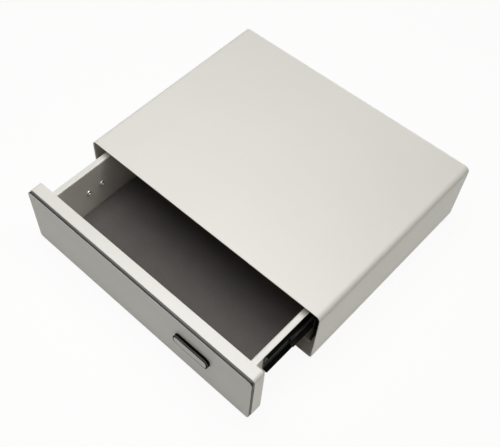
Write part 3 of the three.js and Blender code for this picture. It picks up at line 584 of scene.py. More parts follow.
# painted shade: near-black for the brackets' uprights, which stand in the shade inside the mouth; the foot
# keeps the body paint
BRACKET_SHADE_BLACK = MouldedBlack("bracket_black", "black_steel", (0.012, 0.012, 0.011), texture=0.5, gloss=0.08)
RUNNER = RunnerBlack("runner_black", "black_steel", (0.006, 0.006, 0.006))
ZINC = PlatedSteel("zinc_plate", "bright_steel")
SCREW_NICKEL = PlatedSteel("screw_nickel", "bright_steel", (0.95, 0.94, 0.91), roughness=0.18)
SEAL_RUBBER = DarkRubber("seal_rubber", "rubber", (0.15, 0.146, 0.138), gloss=0.25)
BUFFER_RUBBER = DarkRubber("buffer_rubber", "rubber")
MAT_FOAM = FoamSheet("mat_foam", "foam", (0.118, 0.109, 0.101))
BOARD = BoardLacquer("board_lacquer", "board", (0.012, 0.095, 0.035))
CELL_SLEEVE = ShrinkSleeve("cell_sleeve", "cell_sleeve", (0.05, 0.06, 0.075))
LEAD_SLEEVE = ShrinkSleeve("lead_sleeve", "lead_sleeve", (0.28, 0.02, 0.02), roughness=0.45)


# Outlines


def rounded(corners: Sequence[Corner], steps: int = 6, closed: bool = True) -> list[Point]:
    """Rounds the corners of a polygon or of an open path.

    Args:
        corners: Each corner's u, v and radius.
        steps: Straight pieces in each rounded corner.
        closed: Whether the last corner joins the first.

    Returns:
        The outline's points.
    """
    points: list[Point] = []
    count = len(corners)
    for i, (u, v, radius) in enumerate(corners):
        here = Vector((u, v))
        if radius <= 0 or (not closed and i in (0, count - 1)):
            points.append((u, v))
            continue
        before = (Vector(corners[i - 1][:2]) - here).normalized()
        after = (Vector(corners[(i + 1) % count][:2]) - here).normalized()
        half = before.angle(after) / 2
        centre = here + (before + after).normalized() * (radius / math.sin(half))
        start = here + before * (radius / math.tan(half)) - centre
        end = here + after * (radius / math.tan(half)) - centre
        turn = start.angle_signed(end)
        for k in range(steps + 1):
            angle = -turn * k / steps
            points.append((
                centre.x + start.x * math.cos(angle) - start.y * math.sin(angle),
                centre.y + start.x * math.sin(angle) + start.y * math.cos(angle)))
    return points


def block(u0: float, u1: float, v0: float, v1: float, radius: float, steps: int = 6) -> list[Point]:
    """Gives a rectangle with four equal rounded corners."""
    return rounded([(u0, v0, radius), (u1, v0, radius), (u1, v1, radius), (u0, v1, radius)], steps)


def circle(centre: Point, radius: float, sides: int) -> list[Point]:
    """Gives a circle drawn with straight sides."""
    angles = [math.tau * k / sides for k in range(sides)]
    return [(centre[0] + radius * math.cos(a), centre[1] + radius * math.sin(a)) for a in angles]


def quarter(steps: int = 8) -> list[float]:
    """Gives evenly spaced angles from nothing to a right angle."""
    return [math.pi / 2 * k / steps for k in range(steps + 1)]


def bent_sheet(path: Sequence[Corner], thickness: float, steps: int = 6) -> list[Point]:
    """Gives the section of a bent sheet.

    Args:
        path: The sheet's middle line, as corners with the radius of each bend.
        thickness: The sheet's thickness.
        steps: Straight pieces in each bend.

    Returns:
        The closed section.
    """
    line = [Vector(point) for point in rounded(path, steps, False)]
    left: list[Point] = []
    right: list[Point] = []
    for i, point in enumerate(line):
        ahead = (line[min(i + 1, len(line) - 1)] - point).normalized()
        behind = (point - line[max(i - 1, 0)]).normalized()
        run = (ahead + behind).normalized()
        mitre = run.dot(ahead if i < len(line) - 1 else behind)
        reach = thickness / 2 / max(mitre, LEAST_MITRE)
        across = Vector((-run.y, run.x)) * reach
        left.append((point.x + across.x, point.y + across.y))
        right.append((point.x - across.x, point.y - across.y))
    return left + right[::-1]


def mirrored(outline: Iterable[Point], side: Side) -> list[Point]:
    """Gives an outline drawn for the right, flipped in u for the left."""
    return [(side.value * u, v) for u, v in outline]


# Solids


@dataclass(frozen=True)
class Edge:
    """How the sharp edges of a piece are rounded.

    Attributes:
        width: How far the rounding reaches.
        strips: Strips in each rounded edge.
        fold: The least fold that is rounded, in degrees.
    """

    width: float
    strips: int = 2
    fold: float = 40.0


class Solid:
    """A closed mesh in the making."""

    def __init__(self) -> None:
        """Starts with nothing in it."""
        self.mesh = bmesh.new()

    def slab(self, outline: Sequence[Point], low: float, high: float, along: Along,
             holes: Sequence[Sequence[Point]] = ()) -> "Solid":
        """Adds an extruded outline.

        Args:
            outline: The outer outline.
            low: Where it starts along the direction.
            high: Where it ends.
            along: The direction.
            holes: Outlines of openings through it.

        Returns:
            This solid.
        """
        loops = [list(outline), *[list(hole) for hole in holes]]
        flat = [point for loop in loops for point in loop]
        floor = [self.mesh.verts.new(along.place(u, v, low)) for u, v in flat]
        roof = [self.mesh.verts.new(along.place(u, v, high)) for u, v in flat]
        if holes:
            for three in tessellate_polygon([[Vector((u, v, 0)) for u, v in loop] for loop in loops]):
                self.mesh.faces.new([floor[i] for i in three])
                self.mesh.faces.new([roof[i] for i in three])
        else:
            self.mesh.faces.new(floor)
            self.mesh.faces.new(roof)
        start = 0
        for loop in loops:
            for i in range(len(loop)):
                a, b = start + i, start + (i + 1) % len(loop)
                self.mesh.faces.new((floor[a], floor[b], roof[b], roof[a]))
            start += len(loop)
        return self

    def turned(self, profile: Sequence[Point], centre: Point, along: Along, sides: int = 24) -> "Solid":
        """Adds a turned form.

        Args:
            profile: Radius and height pairs that start and end on the axis.
            centre: The axis's place on the plane across it.
            along: The axis's direction.
            sides: Flats around it.

        Returns:
            This solid.
        """
        rings = [
            [self.mesh.verts.new(along.place(u, v, height))
             for u, v in circle(centre, radius, sides if radius > ON_AXIS else 1)]
            for radius, height in profile]
        for lower, upper in zip(rings, rings[1:]):
            for k in range(sides):
                n = (k + 1) % sides
                corners = dict.fromkeys((lower[k % len(lower)], lower[n % len(lower)],
                                         upper[n % len(upper)], upper[k % len(upper)]))
                if len(corners) > 2:
                    self.mesh.faces.new(list(corners))
        return self

    def rod(self, radius: float, centre: Point, low: float, high: float, along: Along,
            edge: float = 0.0) -> "Solid":
        """Adds a round rod.

        Args:
            radius: The rod's radius.
            centre: The axis's place on the plane across it.
            low: Where it starts.
            high: Where it ends.
            along: The axis's direction.
            edge: The size of the chamfer at each end.

        Returns:
            This solid.
        """
        profile = [(0.0, low), (radius, low), (radius, high), (0.0, high)]
        if edge > 0:
            profile[1:3] = [(radius - edge, low), (radius, low + edge),
                            (radius, high - edge), (radius - edge, high)]
        return self.turned(profile, centre, along)

    def ball(self, radius: float, centre: Vector, sides: int = 16) -> "Solid":
        """Adds a ball.

        Args:
            radius: The ball's radius.
            centre: Its middle.
            sides: Flats around it.

        Returns:
            This solid.
        """
        half = sides // 2
        angles = [math.pi * k / half for k in range(1, half)]
        profile = [(0.0, centre.z - radius),
                   *[(radius * math.sin(a), centre.z - radius * math.cos(a)) for a in angles],
                   (0.0, centre.z + radius)]
        return self.turned(profile, (centre.x, centre.y), Along.Z, sides)

    def soften(self, edge: Edge) -> "Solid":
        """Rounds the sharp edges.

        Args:
            edge: How they are rounded.

        Returns:
            This solid.
        """
        self.tidy()
        limit = math.radians(edge.fold)
        sharp = [line for line in self.mesh.edges if line.is_manifold and line.calc_face_angle(0.0) > limit]
        bmesh.ops.bevel(self.mesh, geom=sharp, offset=edge.width, offset_type="OFFSET", segments=edge.strips,
                        profile=0.5, affect="EDGES", clamp_overlap=True)
        return self

    def relieve(self, outline: Sequence[Point], y: float, width: float) -> "Solid":
        """Bevels the edge that runs along an outline in X and Z.

        Args:
            outline: The outline.
            y: Where the edge lies in Y.
            width: How far the bevel reaches.

        Returns:
            This solid.
        """
        self.tidy()
        marks = {(round(u / MATCH), round(v / MATCH)) for u, v in outline}
        edges = [edge for edge in self.mesh.edges
                 if all(abs(v.co.y - y) < MATCH and (round(v.co.x / MATCH), round(v.co.z / MATCH)) in marks
                        for v in edge.verts)]
        bmesh.ops.bevel(self.mesh, geom=edges, offset=width, offset_type="OFFSET", segments=1, affect="EDGES")
        log.info("relieved %d edges", len(edges))
        return self

    def tidy(self) -> None:
        """Joins doubled points and turns every face outward."""
        bmesh.ops.remove_doubles(self.mesh, verts=self.mesh.verts, dist=WELD)
        bmesh.ops.recalc_face_normals(self.mesh, faces=self.mesh.faces)

    def cut(self, *tools: "Solid") -> "Solid":
        """Cuts other solids out of this one.

        Args:
            tools: The solids to cut with, which are used up.

        Returns:
            This solid.
        """
        body = self.object("cut_body")
        cutters = [tool.object("cut_tool") for tool in tools]
        for cutter in cutters:
            modifier = body.modifiers.new("cut", "BOOLEAN")
            modifier.operation = "DIFFERENCE"
            modifier.solver = "EXACT"
            modifier.object = cutter
        shown = body.evaluated_get(bpy.context.evaluated_depsgraph_get())
        self.mesh = bmesh.new()
        self.mesh.from_mesh(shown.to_mesh())
        for made in (body, *cutters):
            data = made.data
            bpy.data.objects.remove(made)
            bpy.data.meshes.remove(data)
        return self

    def object(self, name: str) -> bpy.types.Object:
        """Turns the solid into a smooth-shaded object in the scene, which uses it up.

        Args:
            name: The object's name.

        Returns:
            The object.
        """
        self.tidy()
        data = bpy.data.meshes.new(name)
        self.mesh.to_mesh(data)
        self.mesh.free()
        data.shade_smooth()
        data.set_sharp_from_angle(angle=math.radians(SHARP_FOLD))
        return placed(name, data)


def placed(name: str, data: bpy.types.ID) -> bpy.types.Object:
    """Puts an object into the scene.

    Args:
        name: The object's name.
        data: Its mesh, lamp or camera.

    Returns:
        The object.
    """
    made = bpy.data.objects.new(name, data)
    bpy.context.scene.collection.objects.link(made)
    return made


def through(node: str, outline: Sequence[Point], *holes: Sequence[Point]) -> Solid:
    """Extrudes an outline in X and Z over the whole depth of a node's box.

    Args:
        node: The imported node.
        outline: The outer outline.
        holes: Outlines of openings through it.

    Returns:
        The solid.
    """
    low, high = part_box(node)
    return Solid().slab(outline, low.y, high.y, Along.Y, holes)


def add_piece(name: str, solid: Solid, finish: Finish, body: str, *replaced: str) -> bpy.types.Object:
    """Adds a finished piece that rides on a body.

    Args:
        name: The piece's name.
        solid: Its shape.
        finish: Its finish.
        body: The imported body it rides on.
        replaced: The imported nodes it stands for.

    Returns:
        The piece.
    """
    made = solid.object(name)
    made.data.materials.append(finish.material())
    even = made.modifiers.new("even_shading", "WEIGHTED_NORMAL")
    even.keep_sharp = True
    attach(made, body)
    if replaced:
        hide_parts(*replaced)
    log.info("piece %s on %s, %d faces", name, body, len(made.data.polygons))
    return made


def paint_node(node: str, finish: Finish) -> None:
    """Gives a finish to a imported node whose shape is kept.

    Args:
        node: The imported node.
        finish: Its finish.
    """
    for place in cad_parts[node].material_slots:
        place.material = finish.material()
    log.info("node %s keeps its shape", node)


# Sub-assemblies


@dataclass
class Housing:
    """The wrapped shell, its back and what is fixed inside it.

    Attributes:
        relief: The width of the bevel inside the mouth.
        foot_rise: How high the painted foot of a bracket rises.
        buffer_nose: The buffer's profile from its tip, as shares of its radius and distances from the tip.
        buffer_flange: The rest of it, with distances from the back plate.
    """

    sheet: float = 2.0 * MM
    top_bend: float = 9.5 * MM
    floor_bend: float = 5.0 * MM
    bend_steps: int = 12
    edge: Edge = Edge(0.6 * MM, fold=32.0)
    relief: float = 1.1 * MM
    anchor_radius: float = 4.0 * MM
    anchor_spread: Point = (130 * MM, 110 * MM)
    foot_corner: float = 8.0 * MM
    foot_bend: float = 2.5 * MM
    foot_rise: float = 6.0 * MM
    fitting_edge: Edge = Edge(0.3 * MM, fold=32.0)
    catch_corner: float = 2.0 * MM
    pin_edge: float = 0.4 * MM
    buffer_nose: tuple[Point, ...] = ((0.0, 0.0), (0.55, 0.0), (0.75, 1.2 * MM), (0.82, 4.0 * MM))
    buffer_flange: tuple[Point, ...] = ((0.82, 4.0 * MM), (1.0, 3.0 * MM), (1.0, 0.0), (0.0, 0.0))

    def outline(self, inset: float) -> list[Point]:
        """Gives the housing's section in X and Z.

        Args:
            inset: How far it is drawn in.

        Returns:
            The section.
        """
        low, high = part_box("housing_shell")
        top = self.top_bend - inset
        floor = self.floor_bend - inset
        return rounded([
            (low.x + inset, low.z + inset, floor), (high.x - inset, low.z + inset, floor),
            (high.x - inset, high.z - inset, top), (low.x + inset, high.z - inset, top)], self.bend_steps)

    def shell(self) -> None:
        """Builds the wrapped sheet with its four anchor holes."""
        inside = self.outline(self.sheet)
        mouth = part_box("housing_shell")[0].y
        drills = [
            Solid().rod(self.anchor_radius, (i * self.anchor_spread[0], j * self.anchor_spread[1]),
                        -self.sheet, 2 * self.sheet, Along.Z)
            for i in (-1, 1) for j in (-1, 1)]
        wrap = through("housing_shell", self.outline(0), inside).cut(*drills)
        wrap.relieve(inside, mouth, self.relief).soften(self.edge)
        add_piece("housing_wrap", wrap, BODY_PAINT, "housing", "housing_shell")

    def back(self) -> None:
        """Builds the back plate."""
        plate = through("rear_plate", self.outline(0)).soften(self.edge)
        add_piece("housing_back", plate, BODY_PAINT, "housing", "rear_plate")

    def bracket(self, side: Side) -> None:
        """Builds one slide bracket: a powder-coated foot and an upright bent up from it, coloured near-black
        as painted shade.

        Args:
            side: The bracket's side.
        """
        node = f"slide_bracket_{side.word}"
        low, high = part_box(node)
        inner, outer = sorted((abs(low.x), abs(high.x)))
        half = self.sheet / 2
        top = low.z + self.foot_rise
        web = outer - half
        path = [(inner, low.z + half, 0), (web, low.z + half, self.foot_bend), (web, top, 0)]
        foot = through(node, mirrored(bent_sheet(path, self.sheet), side))
        foot.cut(*[self.corner_tool(side, inner, y, way, low.z) for y, way in ((low.y, 1), (high.y, -1))])
        add_piece(f"bracket_{side.word}", foot.soften(self.fitting_edge), BODY_PAINT, "housing", node)
        # painted shade: the upright is a near-black strip, not the bracket's own paint
        strip = block(outer - self.sheet, outer, top, high.z, self.fitting_edge.width, steps=2)
        upright = through(node, mirrored(strip, side))
        add_piece(f"bracket_upright_{side.word}", upright, BRACKET_SHADE_BLACK, "housing")

    def corner_tool(self, side: Side, x: float, y: float, way: int, z: float) -> Solid:
        """Makes the tool that rounds a corner of a bracket's foot.

        Args:
            side: The bracket's side.
            x: The corner's distance from the middle.
            y: The corner's place along the housing.
            way: 1 for a front corner, -1 for a rear one.
            z: The foot's underside.

        Returns:
            The tool.
        """
        r = self.foot_corner
        arc = [(x + r - r * math.sin(a), y + way * (r - r * math.cos(a))) for a in quarter()]
        outline = [*arc, (x - PAST, y + way * r), (x - PAST, y - way * PAST), (x + r, y - way * PAST)]
        return Solid().slab(mirrored(outline, side), z - PAST, z + 2 * self.sheet, Along.Z)

    def catch(self) -> None:
        """Builds the plate and pin that the hook catches."""
        low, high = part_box("striker_plate")
        plate = Solid().slab(block(low.y, high.y, low.z, high.z, self.catch_corner), low.x, high.x, Along.X)
        add_piece("catch_plate", plate.soften(self.fitting_edge), ZINC, "housing", "striker_plate")
        low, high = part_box("striker_pin")
        middle = (low + high) / 2
        radius = (high.z - low.z) / 2
        pin = Solid().rod(radius, (middle.y, middle.z), low.x, high.x, Along.X, self.pin_edge)
        add_piece("catch_pin", pin, ZINC, "housing", "striker_pin")

    def buffer(self, side: Side) -> None:
        """Builds one stepped rubber buffer on the back plate.

        Args:
            side: The buffer's side.
        """
        node = f"rear_bumper_{side.word}"
        low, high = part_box(node)
        middle = (low + high) / 2
        radius = (high.x - low.x) / 2
        profile = [(share * radius, low.y + past) for share, past in self.buffer_nose]
        profile += [(share * radius, high.y - past) for share, past in self.buffer_flange]
        made = Solid().turned(profile, (middle.x, middle.z), Along.Y)
        add_piece(f"buffer_{side.word}", made, BUFFER_RUBBER, "housing", node)

    def build(self) -> None:
        """Builds every piece of the housing."""
        self.shell()
        self.back()
        self.catch()
        for side in Side:
            self.bracket(side)
            self.buffer(side)


@dataclass
class Slide:
    """One ball-bearing slide: three rolled members and two cages of balls.

    Attributes:
        groove_centres: The grooves' heights above the web's middle, from the top down.
        groove_shape: A groove's corners, as shares of its half width and of its depth.
        slot_shares: Where the slotted holes lie, as shares of a member's length.
        strip: The thickness of a cage's strip.
    """

    side: Side
    sheet: float = 1.2 * MM
    bend: float = 1.5 * MM
    bend_steps: int = 4
    edge: Edge = Edge(0.15 * MM, 1)
    groove: float = 0.4 * MM
    groove_bend: float = 0.3 * MM
    groove_half: float = 2.0 * MM
    groove_centres: tuple[float, ...] = (9.0 * MM, -9.0 * MM)
    groove_shape: tuple[Point, ...] = ((1.0, 0.0), (0.6, 1.0), (-0.6, 1.0), (-1.0, 0.0))
    slot_half: Point = (4.0 * MM, 2.2 * MM)
    slot_corner: float = 2.1 * MM
    slot_shares: tuple[float, ...] = (0.12, 0.5, 0.88)
    strip: float = 0.6 * MM
    strip_bend: float = 1.2 * MM
    balls: int = 8
    ball_radius: float = 1.45 * MM

    def section(self, node: str, web_outside: bool) -> list[Point]:
        """Draws a member's section for the right side.

        Args:
            node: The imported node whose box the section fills.
            web_outside: Whether the web is on the side away from the drawer.

        Returns:
            The closed section in X and Z.
        """
        low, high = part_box(node)
        near, far = sorted((abs(low.x), abs(high.x)))
        half = self.sheet / 2
        web, lip, dip = (far - half, near, -1) if web_outside else (near + half, far, 1)
        middle = (low.z + high.z) / 2
        reach = (high.z - low.z) / 2
        path: list[Corner] = [(lip, high.z - half, 0), (web, high.z - half, self.bend)]
        for centre in self.groove_centres:
            if abs(centre) + self.groove_half + 2 * self.bend > reach:
                continue
            for offset, depth in self.groove_shape:
                path.append((web + dip * depth * self.groove,
                             middle + centre + offset * self.groove_half, self.groove_bend))
        path += [(web, low.z + half, self.bend), (lip, low.z + half, 0)]
        return bent_sheet(path, self.sheet, self.bend_steps)

    def member(self, kind: str, body: str, web_outside: bool) -> None:
        """Builds one member.

        Args:
            kind: drawer, middle or fixed.
            body: The body it rides on.
            web_outside: Whether its web is on the side away from the drawer.
        """
        node = f"slide_{kind}_member_{self.side.word}"
        made = through(node, mirrored(self.section(node, web_outside), self.side))
        made.cut(*[self.slot_tool(node, share) for share in self.slot_shares]).soften(self.edge)
        add_piece(f"{kind}_runner_{self.side.word}", made, RUNNER, body, node)

    def slot_tool(self, node: str, share: float) -> Solid:
        """Makes the tool for one slotted hole in a member's web.

        Args:
            node: The member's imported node.
            share: Where the hole lies, as a share of the member's length.

        Returns:
            The tool.
        """
        low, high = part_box(node)
        y = low.y + share * (high.y - low.y)
        z = (low.z + high.z) / 2
        half_y, half_z = self.slot_half
        outline = block(y - half_y, y + half_y, z - half_z, z + half_z, self.slot_corner)
        return Solid().slab(outline, low.x - PAST, high.x + PAST, Along.X)

    def cage(self, kind: str) -> None:
        """Builds one cage: a thin strip folded over the races, and its two rows of balls.

        Args:
            kind: inner or outer.
        """
        node = f"{kind}_ball_cage_{self.side.word}"
        body = f"{kind}_cage_{self.side.word}"
        low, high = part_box(node)
        near, far = sorted((abs(low.x), abs(high.x)))
        web = near + self.strip / 2
        bottom, top = low.z + self.ball_radius, high.z - self.ball_radius
        path = [(far, top, 0), (web, top, self.strip_bend), (web, bottom, self.strip_bend), (far, bottom, 0)]
        strip = through(node, mirrored(bent_sheet(path, self.strip, self.bend_steps), self.side))
        add_piece(f"{kind}_cage_strip_{self.side.word}", strip, ZINC, body, node)
        rows = Solid()
        for k in range(self.balls):
            y = low.y + (high.y - low.y) * (k + 0.5) / self.balls
            for z in (bottom, top):
                rows.ball(self.ball_radius, Vector((self.side.value * (far - self.ball_radius), y, z)))
        add_piece(f"{kind}_cage_balls_{self.side.word}", rows, SCREW_NICKEL, body)

    def build(self) -> None:
        """Builds the whole slide."""
        self.member("fixed", "housing", True)
        self.member("middle", f"middle_{self.side.word}", False)
        self.member("drawer", "drawer", False)
        self.cage("inner")
        self.cage("outer")


@dataclass(frozen=True)
class Screw:
    """A pan-head screw with a cross recess.

    Attributes:
        flatness: The power of the head's dome: 1 is round, and less is flatter.
        point: The shank's radius at its tip, as a share, and how far the taper runs.
        cross_half: Half the width of the recess's arms.
        cross_reach: How far the arms reach from the axis.
        cross_floor: The recess's floor above the head's seat.
    """

    head_radius: float = 4.8 * MM
    head_height: float = 2.0 * MM
    flatness: float = 0.5
    shank_radius: float = 2.0 * MM
    point: Point = (0.8, 0.5 * MM)
    cross_half: float = 0.6 * MM
    cross_reach: float = 2.8 * MM
    cross_floor: float = 0.6 * MM
    sides: int = 28

    def solid(self, seat: float, tip: float, centre: Point, along: Along) -> Solid:
        """Builds the screw.

        Args:
            seat: Where the head's flat underside lies along the axis.
            tip: Where the shank ends.
            centre: The axis's place on the plane across it.
            along: The axis's direction.

        Returns:
            The screw.
        """
        away = 1 if seat > tip else -1
        share, taper = self.point
        dome = [(self.head_radius * math.cos(a) ** self.flatness,
                 seat + away * self.head_height * math.sin(a) ** self.flatness) for a in quarter()[1:-1]]
        profile = [(0.0, tip), (share * self.shank_radius, tip), (self.shank_radius, tip + away * taper),
                   (self.shank_radius, seat), (self.head_radius, seat), *dome,
                   (0.0, seat + away * self.head_height)]
        made = Solid().turned(profile, centre, along, self.sides)
        floor, roof = sorted((seat + away * self.cross_floor, seat + away * 3 * self.head_height))
        u, v = centre
        cross = [
            Solid().slab(block(u - du, u + du, v - dv, v + dv, 0), floor, roof, along)
            for du, dv in ((self.cross_half, self.cross_reach), (self.cross_reach, self.cross_half))]
        return made.cut(*cross)


@dataclass
class Tray:
    """The folded drawer tray with its mat and screws.

    Attributes:
        wall_corner: The corner radius of the end walls.
        mat_roll: How much of a round the mat's edge shows.
        mat_grid: The mat's columns and rows.
        mat_swell: The height of the slow waves in the mat's top.
        mat_waves: The waves' turn for each metre and their start, along X and along Y.
    """

    sheet: float = 1.5 * MM
    bend: float = 1.6 * MM
    edge: Edge = Edge(0.25 * MM)
    wall_corner: float = 0.8 * MM
    screw: Screw = Screw()
    screw_count: int = 4
    mat_corner: float = 8.0 * MM
    mat_edge: float = 2.0 * MM
    mat_roll: float = 0.7
    mat_grid: tuple[int, int] = (72, 62)
    mat_swell: float = 0.15 * MM
    mat_waves: tuple[Point, Point] = ((17.0, 1.1), (23.0, 0.4))

    def sheet_metal(self) -> None:
        """Builds the floor, side walls and flanges as one bent sheet, and the two end walls."""
        low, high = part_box("drawer_tray")
        wall = max(-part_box("slide_drawer_member_left")[1].x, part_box("slide_drawer_member_right")[0].x)
        half = self.sheet / 2
        side, top, floor = wall - half, high.z - half, low.z + half
        path = [(low.x, top, 0), (-side, top, self.bend), (-side, floor, self.bend),
                (side, floor, self.bend), (side, top, self.bend), (high.x, top, 0)]
        made = through("drawer_tray", bent_sheet(path, self.sheet))
        inner = side - half
        end_wall = block(-inner, inner, low.z + self.sheet, high.z, self.wall_corner)
        for start in (low.y, high.y - self.sheet):
            made.slab(end_wall, start, start + self.sheet, Along.Y)
        add_piece("tray_sheet", made.soften(self.edge), BODY_PAINT, "drawer", "drawer_tray")

    def mat(self) -> None:
        """Builds the foam mat with rolled edges and a slightly uneven top."""
        low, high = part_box("foam_mat")
        reach_x, reach_y = (high.x - low.x) / 2, (high.y - low.y) / 2
        middle = (low + high) / 2
        columns, rows = self.mat_grid
        solid = Solid()
        top: dict[tuple[int, int], bmesh.types.BMVert] = {}
        bottom: dict[tuple[int, int], bmesh.types.BMVert] = {}
        for i in range(columns + 1):
            for j in range(rows + 1):
                across, back = self.round_corner(
                    self.spread(i, columns) * reach_x, self.spread(j, rows) * reach_y, reach_x, reach_y)
                margin = min(reach_x - abs(across), reach_y - abs(back))
                x, y = middle.x + across, middle.y + back
                top[i, j] = solid.mesh.verts.new((x, y, high.z - self.sink(across, back, margin)))
                bottom[i, j] = solid.mesh.verts.new((x, y, low.z))
        for i in range(columns):
            for j in range(rows):
                ring = [(i, j), (i + 1, j), (i + 1, j + 1), (i, j + 1)]
                solid.mesh.faces.new([top[key] for key in ring])
                solid.mesh.faces.new([bottom[key] for key in reversed(ring)])
        rim = ([(i, 0) for i in range(columns)] + [(columns, j) for j in range(rows)]
               + [(i, rows) for i in range(columns, 0, -1)] + [(0, j) for j in range(rows, 0, -1)])
        for here, following in zip(rim, rim[1:] + rim[:1]):
            solid.mesh.faces.new((bottom[here], bottom[following], top[following], top[here]))
        made = add_piece("drawer_mat", solid, MAT_FOAM, "drawer", "foam_mat")

    def sink(self, across: float, back: float, margin: float) -> float:
        """Gives how far the mat's top lies below its box.

        Args:
            across: The point's place from the middle in X.
            back: The point's place from the middle in Y.
            margin: Its distance from the nearest side.

        Returns:
            The depth.
        """
        short = self.mat_edge - min(margin, self.mat_edge)
        drop = self.mat_edge - math.sqrt(max(self.mat_edge ** 2 - short ** 2, 0))
        (rate_x, start_x), (rate_y, start_y) = self.mat_waves
        wave = math.sin(rate_x * across + start_x) * math.sin(rate_y * back + start_y)
        return self.mat_roll * drop + self.mat_swell * (1 - wave)

    def spread(self, index: int, count: int) -> float:
        """Gives a place from -1 to 1 on a grid that is finer at both ends."""
        return math.sin((2 * index / count - 1) * math.pi / 2)

    def round_corner(self, x: float, y: float, reach_x: float, reach_y: float) -> Point:
        """Draws a point of the mat's corner in onto the corner's arc.

        Args:
            x: The point's place from the middle in X.
            y: The point's place from the middle in Y.
            reach_x: Half the mat's width.
            reach_y: Half the mat's depth.

        Returns:
            The point's new place.
        """
        flat_x, flat_y = reach_x - self.mat_corner, reach_y - self.mat_corner
        past_x, past_y = abs(x) - flat_x, abs(y) - flat_y
        if past_x <= 0 or past_y <= 0:
            return x, y
        shrink = max(past_x, past_y) / math.hypot(past_x, past_y)
        return math.copysign(flat_x + past_x * shrink, x), math.copysign(flat_y + past_y * shrink, y)

    def screws(self) -> None:
        """Builds the slide screws and the panel screws."""
        numbers = range(1, self.screw_count + 1)
        for side in Side:
            for k in numbers:
                node = f"slide_screw_{side.word}_{k}"
                low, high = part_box(node)
                middle = (low + high) / 2
                head, tip = (low.x, high.x) if side is Side.RIGHT else (high.x, low.x)
                seat = head + side.value * self.screw.head_height
                made = self.screw.solid(seat, tip, (middle.y, middle.z), Along.X)
                add_piece(f"wall_screw_{side.word}_{k}", made, SCREW_NICKEL, "drawer", node)
        for k in numbers:
            node = f"panel_screw_{k}"
            low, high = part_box(node)
            middle = (low + high) / 2
            made = self.screw.solid(high.y - self.screw.head_height, low.y, (middle.x, middle.z), Along.Y)
            add_piece(f"front_screw_{k}", made, SCREW_NICKEL, "drawer", node)

    def build(self) -> None:
        """Builds every piece of the tray."""
        self.sheet_metal()
        self.mat()
        self.screws()


